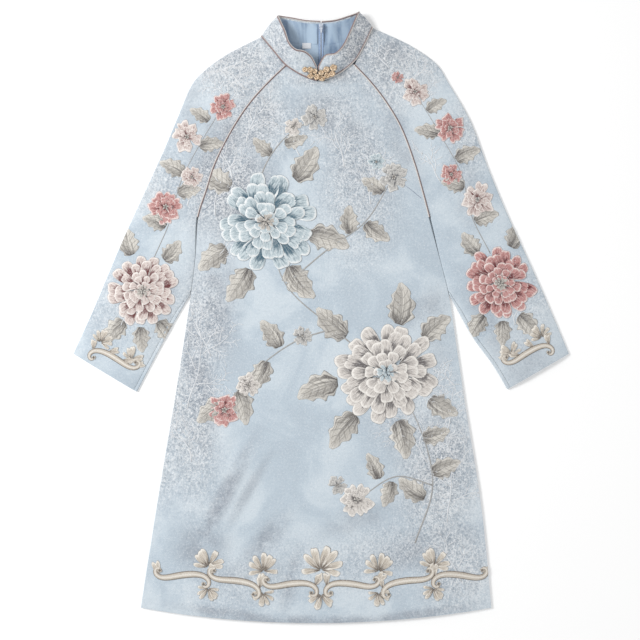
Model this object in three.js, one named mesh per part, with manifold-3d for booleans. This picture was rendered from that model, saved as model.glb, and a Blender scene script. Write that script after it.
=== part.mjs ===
// An A-line stand-collar dress with raglan sleeves, laid on its back on a flat surface.
// Millimetres. +X is the viewer's right, +Y runs from the hem to the collar, +Z is up, off the surface.
// While it is built, the hem's lowest point is y = 0 and the centre back is x = 0. The last lines move
// the origin to the middle of the dress, on the surface.
import * as THREE from 'three';
import { mergeVertices } from 'three/addons/utils/BufferGeometryUtils.js';
import Module from 'manifold-3d';

const wasm = await Module();
wasm.setup();

// ---- driving dimensions -------------------------------------------------------------------------
const CLOTH = 1.8;            // brocade with its interlining
const LINING = 1;             // plain satin inside the neck and collar
const SEAM = 0.3;             // clearance between two pieces sewn together
const PIPING_RADIUS = 1.2;
const PIPED_SEAM = PIPING_RADIUS + SEAM;   // a piece stops this far from a piped seam's line
const LAID_GAP = 0.3;         // between front and back at the outline
const ROOM_LENGTH = 3;        // the room cut for a piping runs this far past its ends
const ROOM_SLACK = 0.12;
const SLIVER = 0.02;
const CORD_STEPS = 34;
const RAGLAN_STEPS = 16;
const RAGLAN_STOPS = 3.8;      // the raglan piping stops this far short of the neck seam's line
const ROWS_PER_STEP = 2;      // rows of faces for each step of a table
const BODY_COLUMNS = 14;
const BACK_COLUMNS = 4;
const SLEEVE_COLUMNS = 7;
const COLLAR_ROWS = 22;
const COLLAR_COLUMNS = 3;

// Body outline from hem to neck. left and right are the side seams, then the raglan seams. sag is how
// far the row's middle hangs below its ends, edge and middle are the free height over the back.
const BODY = [
  { y: 24, left: -288, right: 272, sag: 24, edge: 0.3, middle: 2.6 },
  { y: 114, left: -274, right: 264, sag: 19, edge: 0.3, middle: 3 },
  { y: 201, left: -260, right: 254, sag: 14, edge: 0.3, middle: 3.2 },
  { y: 356, left: -234, right: 229, sag: 7, edge: 0.3, middle: 3.4 },
  { y: 427, left: -222.5, right: 218.5, sag: 4, edge: 0.3, middle: 3.4 },
  { y: 526, left: -208, right: 203.5, sag: 1, edge: 0.3, middle: 3.4 },
  { y: 584, left: -201, right: 189, sag: 0, edge: 0.6, middle: 3.4 },
  { y: 648, left: -197, right: 173, sag: 0, edge: 2, middle: 3.4 },
  { y: 691, left: -183.5, right: 161.5, sag: 0, edge: 3, middle: 3.4 },
  { y: 734, left: -169.5, right: 149, sag: 0, edge: 3.3, middle: 3.5 },
  { y: 790, left: -141, right: 128, sag: 0, edge: 3.5, middle: 3.8 },
  { y: 830, left: -114, right: 104.5, sag: 2, edge: 4.4, middle: 5 },
  { y: 862, left: -85, right: 79.5, sag: 10, edge: 7, middle: 8.5 },
  { y: 891, left: -54, right: 51.5, sag: 26, edge: 10.8, middle: 11.5 },
];
const SLEEVE_LEAVES = 5;      // the row where the sleeve leaves the body's side
const UNDERARM = 7;           // the row where the raglan seam starts

// Above the underarm the back's edge runs to the back neck instead.
const BACK_TOP = [
  { y: 691, left: -184, right: 163 },
  { y: 740, left: -168, right: 150 },
  { y: 800, left: -139, right: 131 },
  { y: 850, left: -109, right: 106 },
  { y: 892, left: -84, right: 82 },
  { y: 926, left: -63, right: 58 },
];
const BACK_NECK_RISE = 9;     // how much further up the right end of the back neck lies
const BACK_NECK = 920;        // y of the neck seam at the centre back

// Overarm edge of each sleeve from the collar to the cuff, then the free inner edge from where it
// leaves the body to the cuff.
const SLEEVES = {
  left: {
    overarm: [[-94, 937], [-157, 904], [-191, 878], [-205, 862], [-231, 803], [-249, 760], [-317, 611],
      [-367, 493], [-396, 430]],
    free: [[-238, 474], [-270, 415], [-294, 369]],
  },
  right: {
    overarm: [[81.5, 951], [143, 922], [185, 892], [204, 862], [238, 803], [268, 724], [298, 652],
      [336, 569], [366, 501], [396, 430]],
    free: [[243, 455], [275, 411], [297.5, 373]],
  },
};
const FREE_STEPS = 8;
const SLEEVE_MIDDLE = 3.2;    // free height inside the sleeve
const TURN = 5.5;             // how far the sleeve's back turns over onto the front, at the underarm seam
const TURN_GAP = 0.5;         // free height inside that turned edge
const TURN_ROWS = 4;          // faces round the turned edge
const TURN_RADIUS = (CLOTH + TURN_GAP) / 2;
const TURN_SETBACK = TURN_RADIUS + CLOTH / 2;    // from the sleeve's outline to the turn's centre line

// Stand collar, from the centre back round the shoulder to the centre front. base is the neck seam and
// top the collar's upper edge.
const COLLARS = {
  left: [
    { base: [-1, 920, 5.2], top: [-1, 959, 8.5] },
    { base: [-30, 921, 4.4], top: [-25, 960.5, 8.5] },
    { base: [-60, 926, 3.4], top: [-47, 964.5, 8.6] },
    { base: [-82, 932, 3.2], top: [-62, 969, 9.5] },
    { base: [-94, 936.5, 6.4], top: [-70, 970.5, 14] },
    { base: [-88.5, 929, 10], top: [-66.5, 961, 19.5] },
    { base: [-74, 911, 13.6], top: [-58, 942, 26] },
    { base: [-57, 891, 15], top: [-50.5, 921, 31] },
    { base: [-41, 879.5, 15.8], top: [-40, 910.5, 32] },
    { base: [-26, 871.5, 16], top: [-27, 908, 30] },
    { base: [-14, 867, 16], top: [-16.5, 901, 25] },
    { base: [-6.2, 865, 16], top: [-8, 886, 20] },
  ],
  right: [
    { base: [1, 920, 5.2], top: [1, 959, 8.5] },
    { base: [27, 922, 4.4], top: [23, 961.5, 8.5] },
    { base: [54, 931, 3.4], top: [43, 967.5, 8.6] },
    { base: [71, 943.5, 3.2], top: [56, 974, 9.5] },
    { base: [81.5, 951, 6.4], top: [61.5, 977, 14] },
    { base: [78, 942.5, 10], top: [58.5, 969, 19.5] },
    { base: [68, 921, 13.6], top: [51, 951, 26] },
    { base: [54, 897.5, 15], top: [43, 932, 31] },
    { base: [38, 883, 15.8], top: [34, 915, 32] },
    { base: [23, 873.5, 16], top: [22.5, 904.5, 30] },
    { base: [6, 866.5, 16], top: [7, 902, 26] },
    { base: [-4.4, 865, 16], top: [-3.4, 886, 20] },
  ],
};
const COLLAR_BOW = 1.6;       // how far the band bows outwards
const LINING_STOPS = 2.5;     // the collar's lining stops this far inside its edges

// Largest soft ridges of the front: from and to on the front, width and height.
const FOLDS = [
  { from: [-190, 640], to: [-212, 400], width: 26, height: 0.5 },
  { from: [-120, 250], to: [-210, 110], width: 34, height: 0.5 },
  { from: [30, 190], to: [-90, 50], width: 40, height: 0.4 },
  { from: [150, 420], to: [215, 250], width: 36, height: 0.4 },
];

// Zip in the centre back seam.
const ZIP = { slit: 0.9, halfWidth: 4.2, tape: 0.9, bottom: 560 };
const ZIP_ROUTE = [[560, 3], [868, 3.1], [900, 5.6], [920, 7.6], [956, 10.2]];   // y and z of the tapes
const SLIDER = { y: 951, z: 10.95, length: 9, width: 6.6, height: 1.6, post: 1, postTop: 1.1, rod: 0.75 };
const PULL = { length: 10, width: 3.4, thickness: 1, eye: 1.9, hole: 1.05, droop: 12 };

// Gold bead buttons of the neck closure: centre and radius.
const BEADS = [
  [-25.5, 880, 3.4], [-17.4, 879.6, 3.7], [-9.8, 877.6, 3.3], [-16.6, 870.6, 3.6], [-7, 869.4, 3.9],
  [0.4, 875.4, 3.6], [1.6, 867, 3.8], [8.6, 880, 3.9], [9.4, 871.4, 3.6], [17.4, 874, 3.8],
  [19.6, 882.6, 4.2],
];
const BEAD_SEAT = { y: 866, z: 17.9, slope: 0.43 };   // where the closure lies on the sloping collar

const NECK_LINING = { from: 872, reach: 52, rise: 2.4, columns: 5, rows: 6 };
const LINING_LIFT = 0.8;      // the neck lining's clearance from the back
const LABEL = { x: -23, y: 921, z: 7.9, width: 14, height: 9, thickness: 0.8 };

const COLOURS = {
  brocade: [0xb9c7d6, 0.62, 0.05],
  lining: [0x9fb8d6, 0.4, 0],
  piping: [0xa98783, 0.5, 0],
  gold: [0xd9b273, 0.3, 0.9],
  zip: [0xc4d4ea, 0.4, 0],
  white: [0xeceef2, 0.5, 0],
};

// ---- geometry helpers ---------------------------------------------------------------------------
const vec = (p) => new THREE.Vector3(p[0], p[1], p[2] ?? 0);
const curveThrough = (points) => new THREE.CatmullRomCurve3(points.map(vec), false, 'centripetal');
const range = (n) => Array.from({ length: n }, (_, i) => i);
const blend = (a, b, t) => a + (b - a) * t;
const smooth = (a, b, x) => THREE.MathUtils.smoothstep(x, a, b);
const signOf = (side) => (side === 'left' ? -1 : 1);

// A column of a table as a smooth function of the row.
function column(rows, key) {
  const stops = rows.map((r, i) => new THREE.Vector3(i, r[key], 0));
  const curve = new THREE.CatmullRomCurve3(stops, false, 'catmullrom', 0.5);
  return (row) => curve.getPoint(row / (rows.length - 1)).y;
}

// An edge moved sideways in plan, to the left of the way it runs.
function offsetEdge(points, inset) {
  return points.map((p, i) => {
    const along = points[Math.min(i + 1, points.length - 1)].clone().sub(points[Math.max(i - 1, 0)]);
    const side = new THREE.Vector3(-along.y, along.x, 0).normalize();
    return p.clone().addScaledVector(side, inset(i));
  });
}

// The grid moved along its normals.
function movedOut(grid, by) {
  const last = grid.length - 1;
  const end = grid[0].length - 1;
  return grid.map((row, i) => row.map((p, j) => {
    const across = grid[i][Math.min(j + 1, end)].clone().sub(grid[i][Math.max(j - 1, 0)]);
    const along = grid[Math.min(i + 1, last)][j].clone().sub(grid[Math.max(i - 1, 0)][j]);
    return p.clone().addScaledVector(across.cross(along).normalize(), by);
  }));
}

// The grid's last row moved back towards the row before it.
function pulledBack(grid, by) {
  const before = grid.at(-2);
  const lastRow = grid.at(-1).map((p, k) => p.clone().add(before[k].clone().sub(p).setLength(by)));
  return [...grid.slice(0, -1), lastRow];
}

// A closed wall of cloth: the grid is its middle surface.
function wall(grid, thickness) {
  const layers = [movedOut(grid, thickness / 2), movedOut(grid, -thickness / 2)];
  const rows = grid.length;
  const columns = grid[0].length;
  const at = (layer, i, j) => layer * rows * columns + i * columns + j;
  const faces = [];
  const quad = (a, b, c, d) => faces.push(a, b, c, a, c, d);
  for (let i = 0; i < rows - 1; i += 1) {
    for (let j = 0; j < columns - 1; j += 1) {
      quad(at(0, i, j), at(0, i, j + 1), at(0, i + 1, j + 1), at(0, i + 1, j));
      quad(at(1, i, j), at(1, i + 1, j), at(1, i + 1, j + 1), at(1, i, j + 1));
    }
  }
  for (let j = 0; j < columns - 1; j += 1) {
    quad(at(1, 0, j), at(1, 0, j + 1), at(0, 0, j + 1), at(0, 0, j));
    quad(at(0, rows - 1, j), at(0, rows - 1, j + 1), at(1, rows - 1, j + 1), at(1, rows - 1, j));
  }
  for (let i = 0; i < rows - 1; i += 1) {
    quad(at(0, i, 0), at(0, i + 1, 0), at(1, i + 1, 0), at(1, i, 0));
    quad(at(1, i, columns - 1), at(1, i + 1, columns - 1), at(0, i + 1, columns - 1), at(0, i, columns - 1));
  }
  const positions = layers.flat(2).flatMap((p) => [p.x, p.y, p.z]);
  return new THREE.BufferGeometry()
    .setAttribute('position', new THREE.Float32BufferAttribute(positions, 3))
    .setIndex(faces);
}

function solid(geometry) {
  const bare = geometry.clone();
  bare.deleteAttribute('normal');
  bare.deleteAttribute('uv');
  const merged = mergeVertices(bare, 1e-4);
  return new wasm.Manifold(new wasm.Mesh({
    numProp: 3,
    vertProperties: merged.attributes.position.array,
    triVerts: new Uint32Array(merged.index.array),
  }));
}

function geometryOf(made) {
  const mesh = made.getMesh();
  return new THREE.BufferGeometry()
    .setAttribute('position', new THREE.BufferAttribute(mesh.vertProperties, 3))
    .setIndex(new THREE.BufferAttribute(mesh.triVerts, 1));
}

// Both leave out the sliver faces that a join or a cut makes.
const joined = (...parts) => geometryOf(parts.map(solid).reduce((a, b) => a.add(b)).simplify(SLIVER));
const trimmed = (part, ...cutters) => (
  geometryOf(cutters.map(solid).reduce((a, b) => a.subtract(b), solid(part)).simplify(SLIVER)));

function piece(name, geometry, finish) {
  const [color, roughness, metalness] = COLOURS[finish];
  const mesh = new THREE.Mesh(geometry, new THREE.MeshStandardMaterial({ color, roughness, metalness }));
  mesh.name = name;
  return mesh;
}

// A cord of round section through the points.
function cord(points, radius, steps) {
  const corners = range(8).map((k) => {
    const angle = (k / 8) * 2 * Math.PI;
    return new THREE.Vector2(radius * Math.cos(angle), radius * Math.sin(angle));
  });
  const extrudePath = new THREE.CatmullRomCurve3(points, false, 'centripetal');
  return new THREE.ExtrudeGeometry(new THREE.Shape(corners), { steps, extrudePath });
}

// The room that a piping needs, a little longer and wider than the piping.
function room(points, steps) {
  const past = (end, inner) => end.clone().add(end.clone().sub(inner).setLength(ROOM_LENGTH));
  const longer = [past(points[0], points[1]), ...points, past(points.at(-1), points.at(-2))];
  return cord(longer, PIPED_SEAM + ROOM_SLACK, steps);
}

// ---- collar lines -------------------------------------------------------------------------------
const collarLine = (side, key) => curveThrough(COLLARS[side].map((row) => row[key]));

// Points of the neck seam, centre back to centre front, and of the collar's upper edge.
const collarPoints = (side, key) => {
  const line = collarLine(side, key);
  return range(COLLAR_ROWS + 1).map((i) => line.getPoint(i / COLLAR_ROWS));
};
const neckCord = (side) => cord(collarPoints(side, 'base'), PIPING_RADIUS, CORD_STEPS);
const neckRoom = (side) => room(collarPoints(side, 'base'), CORD_STEPS);

// ---- body ---------------------------------------------------------------------------------------
function foldHeight(x, y) {
  const here = new THREE.Vector3(x, y, 0);
  return FOLDS.reduce((sum, { from, to, width, height }) => {
    const line = new THREE.Line3(vec(from), vec(to));
    const share = line.closestPointToPointParameter(here, true);
    const distance = line.at(share, new THREE.Vector3()).distanceTo(here);
    return sum + height * Math.exp(-((distance / width) ** 2));
  }, 0);
}

const stopsOf = (rows) => range((rows.length - 1) * ROWS_PER_STEP + 1).map((i) => i / ROWS_PER_STEP);
const columnsOf = (rows) => Object.fromEntries(Object.keys(rows[0]).map((key) => [key, column(rows, key)]));
const FRONT_STOPS = stopsOf(BODY);
const front = columnsOf(BODY);
const frontEdge = (side) => FRONT_STOPS.map((row) => new THREE.Vector3(front[side](row), front.y(row), 0));

// One cross row of the front, between its two ends.
function frontRow(left, right, row) {
  return range(BODY_COLUMNS + 1).map((k) => {
    const u = Math.sin((k / BODY_COLUMNS - 0.5) * Math.PI);
    const x = blend(left.x, right.x, (u + 1) / 2);
    const y = blend(left.y, right.y, (u + 1) / 2) - front.sag(row) * (1 - u * u);
    const inside = 1 - Math.abs(u) ** 5;
    const free = blend(front.edge(row), front.middle(row), inside) + foldHeight(x, y) * inside;
    return new THREE.Vector3(x, y, CLOTH * 1.5 + free);
  });
}

function frontGrid() {
  const left = offsetEdge(frontEdge('left'), () => -SEAM / 2);
  const right = offsetEdge(frontEdge('right'), () => SEAM / 2);
  const grid = FRONT_STOPS.map((row, i) => frontRow(left[i], right[i], row));
  return pulledBack(grid, PIPED_SEAM);
}

const BACK = [...BODY.slice(0, UNDERARM + 1), ...BACK_TOP];
const BACK_STOPS = stopsOf(BACK);
const back = Object.fromEntries(['y', 'left', 'right'].map((key) => [key, column(BACK, key)]));

function backEdge(side) {
  const rise = side === 'right' ? BACK_NECK_RISE : 0;
  return BACK_STOPS.map((row) => new THREE.Vector3(
    back[side](row),
    back.y(row) + rise * smooth(BACK.length - 6, BACK.length - 1, row),
    0,
  ));
}

// The back is lifted a little off the surface where the zip's slider pulls it.
const backLift = (x, y) => 3.2 * Math.exp(-((x / 30) ** 2)) * smooth(870, 918, y);

// Half of the back, from the centre seam to the side.
function backGrid(side) {
  const sign = signOf(side);
  const edge = offsetEdge(backEdge(side), () => sign * SEAM / 2);
  const rows = BACK_STOPS.map((row, i) => {
    const sag = BODY[0].sag * (1 - smooth(0, 4, row));
    const centreX = sign * blend(SEAM / 2, ZIP.slit, smooth(ZIP.bottom - 20, ZIP.bottom, edge[i].y));
    const dip = (edge.at(-1).y - BACK_NECK) * Math.max(0, row - UNDERARM) / (BACK.length - 1 - UNDERARM);
    const centreY = edge[i].y - sag - dip;
    const steepness = 2 + smooth(BACK.length - 4, BACK.length - 1, row);
    const points = range(BACK_COLUMNS + 1).map((k) => {
      const share = k / BACK_COLUMNS;
      const x = blend(centreX, edge[i].x, share);
      const y = blend(centreY, edge[i].y, share ** steepness);
      return new THREE.Vector3(x, y, CLOTH / 2 + backLift(x, y));
    });
    return side === 'left' ? points.reverse() : points;
  });
  return pulledBack(rows, PIPED_SEAM + 2 * SEAM);
}

// ---- sleeves ------------------------------------------------------------------------------------
// A sleeve's inner edge from cuff to neck: its free edge, then the edge that it shares with the body.
function innerEdge(side, bodyEdge) {
  const shared = bodyEdge.slice(SLEEVE_LEAVES * ROWS_PER_STEP);
  const free = curveThrough([...SLEEVES[side].free.toReversed(), shared[0].toArray()]);
  return [...free.getSpacedPoints(FREE_STEPS).slice(0, -1), ...shared];
}

// Points of the overarm edge that face the inner edge's points, at equal shares of both lengths.
function facing(points, side) {
  const lengths = [0];
  points.slice(1).forEach((p, i) => lengths.push(lengths[i] + p.distanceTo(points[i])));
  const overarm = curveThrough(SLEEVES[side].overarm.toReversed());
  return lengths.map((length) => overarm.getPointAt(length / lengths.at(-1)));
}

// How far the sleeve's back turns over the edge at each row of the free edge.
const turnAt = (i) => blend(TURN, TURN_SETBACK + 0.4, smooth(FREE_STEPS - 2.5, FREE_STEPS, i));

function sleeveGrid(outer, inner, level, columns, side) {
  const rows = outer.map((p, i) => range(columns + 1).map((k) => {
    const u = 0.5 - 0.5 * Math.cos((k / columns) * Math.PI);
    return new THREE.Vector3(blend(p.x, inner[i].x, u), blend(p.y, inner[i].y, u), level(i, u));
  }));
  return side === 'left' ? rows : rows.map((row) => row.reverse());
}

// Front of a sleeve, from the overarm edge to the raglan seam and the underarm seam.
function sleeveFront(side) {
  const sign = signOf(side);
  const points = innerEdge(side, frontEdge(side));
  const inset = (i) => (i <= FREE_STEPS ? turnAt(i) : 0) + 1.5 * SEAM;
  const inner = offsetEdge(points, (i) => -sign * inset(i));
  const level = (i, u) => {
    const row = Math.max(0, i - FREE_STEPS) / ROWS_PER_STEP + SLEEVE_LEAVES;
    const raglan = smooth(UNDERARM - 1.5, UNDERARM + 1, row);
    const rising = (front.edge(row) - LAID_GAP) * (1 - (1 - u) ** 4);
    const tube = (SLEEVE_MIDDLE - LAID_GAP) * (1 - Math.abs(2 * u - 1) ** 4);
    return CLOTH * 1.5 + LAID_GAP + blend(tube, rising, raglan) + (TURN_GAP - LAID_GAP) * u * (1 - raglan);
  };
  const grid = sleeveGrid(facing(points, side), inner, level, SLEEVE_COLUMNS, side);
  return pulledBack(grid, PIPED_SEAM);
}

// Back of a sleeve, with the strip that turns over its inner edge to the underarm seam.
function sleeveBack(side) {
  const sign = signOf(side);
  const points = innerEdge(side, backEdge(side));
  const inset = (i) => (i <= FREE_STEPS ? TURN_SETBACK : SEAM / 2);
  const inner = offsetEdge(points, (i) => -sign * inset(i));
  const flat = sleeveGrid(facing(points, side), inner, () => CLOTH / 2, BACK_COLUMNS, side);
  const turned = range(FREE_STEPS + 1).map((i) => {
    const before = points[Math.max(i - 1, 0)];
    const along = points[i + 1].clone().sub(before).normalize();
    const inward = new THREE.Vector3(-along.y, along.x, 0).multiplyScalar(-sign);
    const at = (depth, z) => points[i].clone().addScaledVector(inward, depth).setZ(z);
    const bend = range(TURN_ROWS + 1).map((k) => {
      const angle = (k / TURN_ROWS) * Math.PI;
      const depth = TURN_SETBACK - TURN_RADIUS * Math.sin(angle);
      return at(depth, CLOTH / 2 + TURN_RADIUS * (1 - Math.cos(angle)));
    });
    const top = CLOTH / 2 + 2 * TURN_RADIUS;
    const row = [at(TURN_SETBACK + 2, CLOTH / 2), ...bend, at(turnAt(i), top)];
    return side === 'left' ? row : row.reverse();
  });
  return joined(wall(pulledBack(flat, PIPED_SEAM + SEAM), CLOTH), wall(turned, CLOTH));
}

// ---- collar -------------------------------------------------------------------------------------
const OUTWARD = { left: -1, right: 1 };   // which way the band's grid normal counts as outside
// Half of the collar band as rows from the centre back to the centre front, each from base to top.
function collarGrid(side) {
  const base = collarPoints(side, 'base');
  const top = collarPoints(side, 'top');
  return base.map((p, i) => {
    const up = top[i].clone().sub(p);
    const from = PIPED_SEAM / up.length();
    return range(COLLAR_COLUMNS + 1).map((k) => {
      const share = blend(from, 1 - from, k / COLLAR_COLUMNS);
      return p.clone().addScaledVector(up, share);
    });
  });
}

// The band bows outwards between its edges.
function bowed(grid, side) {
  const out = movedOut(grid, OUTWARD[side] * COLLAR_BOW);
  return grid.map((row, i) => row.map((p, k) => (
    p.clone().lerp(out[i][k], Math.sin((k / COLLAR_COLUMNS) * Math.PI)))));
}

// The collar's upper piping turns down its rounded front end to the neck seam.
function topPoints(side) {
  const end = side === 'left' ? [-7.6, 869, 17.6] : [-3.1, 869, 17.6];
  return [...collarPoints(side, 'top'), vec(end)];
}

function collarBand(side) {
  const band = wall(bowed(collarGrid(side), side), CLOTH);
  return trimmed(band, neckRoom(side), room(topPoints(side), CORD_STEPS + 4));
}

// The collar's lining lies inside its band, clear of the zip, the edges and the front end.
function collarLining(side) {
  const inside = movedOut(bowed(collarGrid(side), side), -OUTWARD[side] * (CLOTH / 2 + 1.5 * SEAM + LINING / 2));
  const rows = inside.map((row) => {
    const height = row[0].distanceTo(row.at(-1));
    const share = LINING_STOPS / height;
    return [row[0].clone().lerp(row[1], share * COLLAR_COLUMNS), ...row.slice(1, -1),
      row.at(-1).clone().lerp(row.at(-2), share * COLLAR_COLUMNS)];
  });
  const clearOfZip = (ZIP.halfWidth + SEAM) / Math.abs(rows[1][0].x);
  const first = rows[0].map((p, k) => p.clone().lerp(rows[1][k], clearOfZip));
  const last = rows.at(-1).map((p, k) => p.clone().lerp(rows.at(-2)[k], 0.6));
  return wall([first, ...rows.slice(1, -1), last], LINING);
}

// The lining of the back neck, which lies on the back inside the neck opening.
function neckLining(side) {
  const sign = signOf(side);
  const { from, reach, rise, columns, rows } = NECK_LINING;
  const seam = (x) => BACK_NECK + (rise + (side === 'right' ? BACK_NECK_RISE : 6)) * (x / 60) ** 2 - 3.5;
  const grid = range(rows + 1).map((i) => {
    const points = range(columns + 1).map((k) => {
      const x = sign * blend(ZIP.halfWidth + SEAM, reach, k / columns);
      const y = blend(from, seam(x), i / rows);
      return new THREE.Vector3(x, y, CLOTH + LINING_LIFT + LINING / 2 + backLift(x, y));
    });
    return side === 'left' ? points.reverse() : points;
  });
  return wall(grid, LINING);
}

// ---- zip, label and closure ---------------------------------------------------------------------
function zipTape(side) {
  const edges = [ZIP.slit, ZIP.halfWidth].map((x) => signOf(side) * x).sort((a, b) => a - b);
  return wall(ZIP_ROUTE.map(([y, z]) => edges.map((x) => new THREE.Vector3(x, y, z))), ZIP.tape);
}

const box = (size, place) => new THREE.BoxGeometry(...size).translate(...place);
const HINGE = [0, SLIDER.y, SLIDER.z + SLIDER.height + SEAM + PULL.eye];

function slider() {
  const { y, z, length, width, height, post, postTop, rod } = SLIDER;
  const postHeight = HINGE[2] + postTop - z;
  const posts = [-1, 1].map((sign) => (
    box([post, 2, postHeight], [sign * (PULL.width + 2 * SEAM + post) / 2, y, z + postHeight / 2])));
  const bar = new THREE.CylinderGeometry(rod, rod, PULL.width + 2 * SEAM + post, 12)
    .rotateZ(Math.PI / 2).translate(...HINGE);
  return joined(box([width, length, height], [0, y, z + height / 2]), ...posts, bar);
}

function pull() {
  const { length, width, thickness, eye, hole, droop } = PULL;
  const ring = new THREE.Shape().absarc(0, 0, eye, 0, 2 * Math.PI);
  ring.holes.push(new THREE.Path().absarc(0, 0, hole, 0, 2 * Math.PI));
  const loop = new THREE.ExtrudeGeometry(ring, { depth: width, bevelEnabled: false, curveSegments: 8 })
    .translate(0, 0, -width / 2).rotateY(Math.PI / 2);
  const plate = box([width, length - hole - SEAM, thickness], [0, -(length + hole + SEAM) / 2, 0]);
  return joined(loop, plate)
    .rotateX(THREE.MathUtils.degToRad(droop))
    .translate(...HINGE);
}

function bead([x, y, radius]) {
  const z = BEAD_SEAT.z + BEAD_SEAT.slope * (y - BEAD_SEAT.y) + radius;
  return new THREE.SphereGeometry(radius, 10, 8).translate(x, y, z);
}

// ---- raglan piping ------------------------------------------------------------------------------
// Points of the front raglan seam, from the underarm to just short of the neck piping.
function raglanPoints(side) {
  const line = frontEdge(side).slice(UNDERARM * ROWS_PER_STEP);
  const points = line.map((p, i) => p.setZ(CLOTH * 1.5 + front.edge(UNDERARM + i / ROWS_PER_STEP) + 0.3));
  return pulledBack(points.map((p) => [p]), RAGLAN_STOPS).flat();
}

// ---- assembly -----------------------------------------------------------------------------------
const SIDES = ['left', 'right'];
const raglanRoom = (side) => room(raglanPoints(side), RAGLAN_STEPS);
const pipingRooms = [...SIDES.map(neckRoom), ...SIDES.map(raglanRoom)];

const dress = new THREE.Group();
dress.add(piece('front_body', trimmed(wall(frontGrid(), CLOTH), ...pipingRooms), 'brocade'));
SIDES.forEach((side) => {
  const raglan = cord(raglanPoints(side), PIPING_RADIUS, RAGLAN_STEPS);
  dress.add(
    piece(`back_body_${side}`, wall(backGrid(side), CLOTH), 'brocade'),
    piece(`sleeve_front_${side}`, trimmed(wall(sleeveFront(side), CLOTH), neckRoom(side), raglanRoom(side)), 'brocade'),
    piece(`sleeve_back_${side}`, sleeveBack(side), 'brocade'),
    piece(`raglan_piping_${side}`, raglan, 'piping'),
    piece(`neck_piping_${side}`, neckCord(side), 'piping'),
    piece(`collar_piping_${side}`, cord(topPoints(side), PIPING_RADIUS, CORD_STEPS + 4), 'piping'),
    piece(`collar_${side}`, collarBand(side), 'brocade'),
    piece(`collar_lining_${side}`, collarLining(side), 'lining'),
    piece(`neck_lining_${side}`, neckLining(side), 'lining'),
    piece(`zip_tape_${side}`, zipTape(side), 'zip'),
  );
});
dress.add(
  piece('zip_slider', slider(), 'zip'),
  piece('zip_pull', pull(), 'white'),
  piece('size_label', box([LABEL.width, LABEL.height, LABEL.thickness], [LABEL.x, LABEL.y, LABEL.z]), 'white'),
);
BEADS.forEach((spec, i) => dress.add(piece(`closure_bead_${i + 1}`, bead(spec), 'gold')));

const bounds = new THREE.Box3().setFromObject(dress);
const middle = bounds.getCenter(new THREE.Vector3());
dress.position.set(-middle.x, -middle.y, -bounds.min.z);
dress.updateMatrixWorld(true);

export default dress;
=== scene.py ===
import math
import random

import bmesh
import bpy
import numpy as np
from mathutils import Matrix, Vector
from mathutils.bvhtree import BVHTree


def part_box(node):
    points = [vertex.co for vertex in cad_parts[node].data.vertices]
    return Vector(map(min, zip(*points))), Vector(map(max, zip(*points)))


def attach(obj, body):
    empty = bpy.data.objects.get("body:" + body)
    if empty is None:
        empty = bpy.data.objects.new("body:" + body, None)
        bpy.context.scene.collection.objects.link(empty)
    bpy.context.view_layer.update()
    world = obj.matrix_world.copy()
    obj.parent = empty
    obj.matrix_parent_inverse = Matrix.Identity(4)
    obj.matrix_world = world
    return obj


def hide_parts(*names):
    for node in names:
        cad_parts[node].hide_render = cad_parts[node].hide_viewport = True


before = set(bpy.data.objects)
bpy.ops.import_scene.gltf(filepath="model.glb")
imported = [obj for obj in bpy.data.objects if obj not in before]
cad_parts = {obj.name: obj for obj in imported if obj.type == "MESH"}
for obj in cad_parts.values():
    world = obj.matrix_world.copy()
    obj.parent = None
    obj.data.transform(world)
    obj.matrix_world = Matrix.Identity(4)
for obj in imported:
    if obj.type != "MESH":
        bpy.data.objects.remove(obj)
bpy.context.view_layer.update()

# ---- the dress's own sizes, in millimetres, in the frame of its pattern: hem at y = 0 -------------------
MM = 0.001
CLOTH = 1.8                # wall of the solids that the shells stand for
SHELL = 1.3                # brocade shell
SATIN = 0.9                # lining shell
TAPE_THICKNESS = 0.7
LABEL_THICKNESS = 0.4
SEAM = 0.3                 # clearance between pieces sewn together
PIPING = 1.5               # radius of the cord in the piping
PIPE_RADIUS = 1.65         # of the piping at the collar, with its cloth
SPACING = 4.6              # between the points of a panel's mesh

BODY = [   # front from hem to neck: side or raglan seam, hang of the middle, free height at edge and middle
    dict(y=24, left=-288, right=272, sag=24, edge=0.3, middle=2.6),
    dict(y=114, left=-274, right=264, sag=19, edge=0.3, middle=3),
    dict(y=201, left=-260, right=254, sag=14, edge=0.3, middle=3.2),
    dict(y=356, left=-234, right=229, sag=7, edge=0.3, middle=3.4),
    dict(y=427, left=-222.5, right=218.5, sag=4, edge=0.3, middle=3.4),
    dict(y=526, left=-208, right=203.5, sag=1, edge=0.3, middle=3.4),
    dict(y=584, left=-201, right=189, sag=0, edge=0.6, middle=3.4),
    dict(y=648, left=-197, right=173, sag=0, edge=2, middle=3.4),
    dict(y=691, left=-183.5, right=161.5, sag=0, edge=3, middle=3.4),
    dict(y=734, left=-169.5, right=149, sag=0, edge=3.3, middle=3.5),
    dict(y=790, left=-141, right=128, sag=0, edge=3.5, middle=3.8),
    dict(y=830, left=-114, right=104.5, sag=2, edge=4.4, middle=5),
    dict(y=862, left=-85, right=79.5, sag=10, edge=7, middle=8.5),
    dict(y=891, left=-54, right=51.5, sag=26, edge=10.8, middle=11.5),
]
SLEEVE_LEAVES, UNDERARM = 5, 7
BACK_TOP = [
    dict(y=691, left=-184, right=163),
    dict(y=740, left=-168, right=150),
    dict(y=800, left=-139, right=131),
    dict(y=850, left=-109, right=106),
    dict(y=892, left=-84, right=82),
    dict(y=926, left=-63, right=58),
]
BACK_NECK, BACK_NECK_RISE = 920, 9
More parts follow.
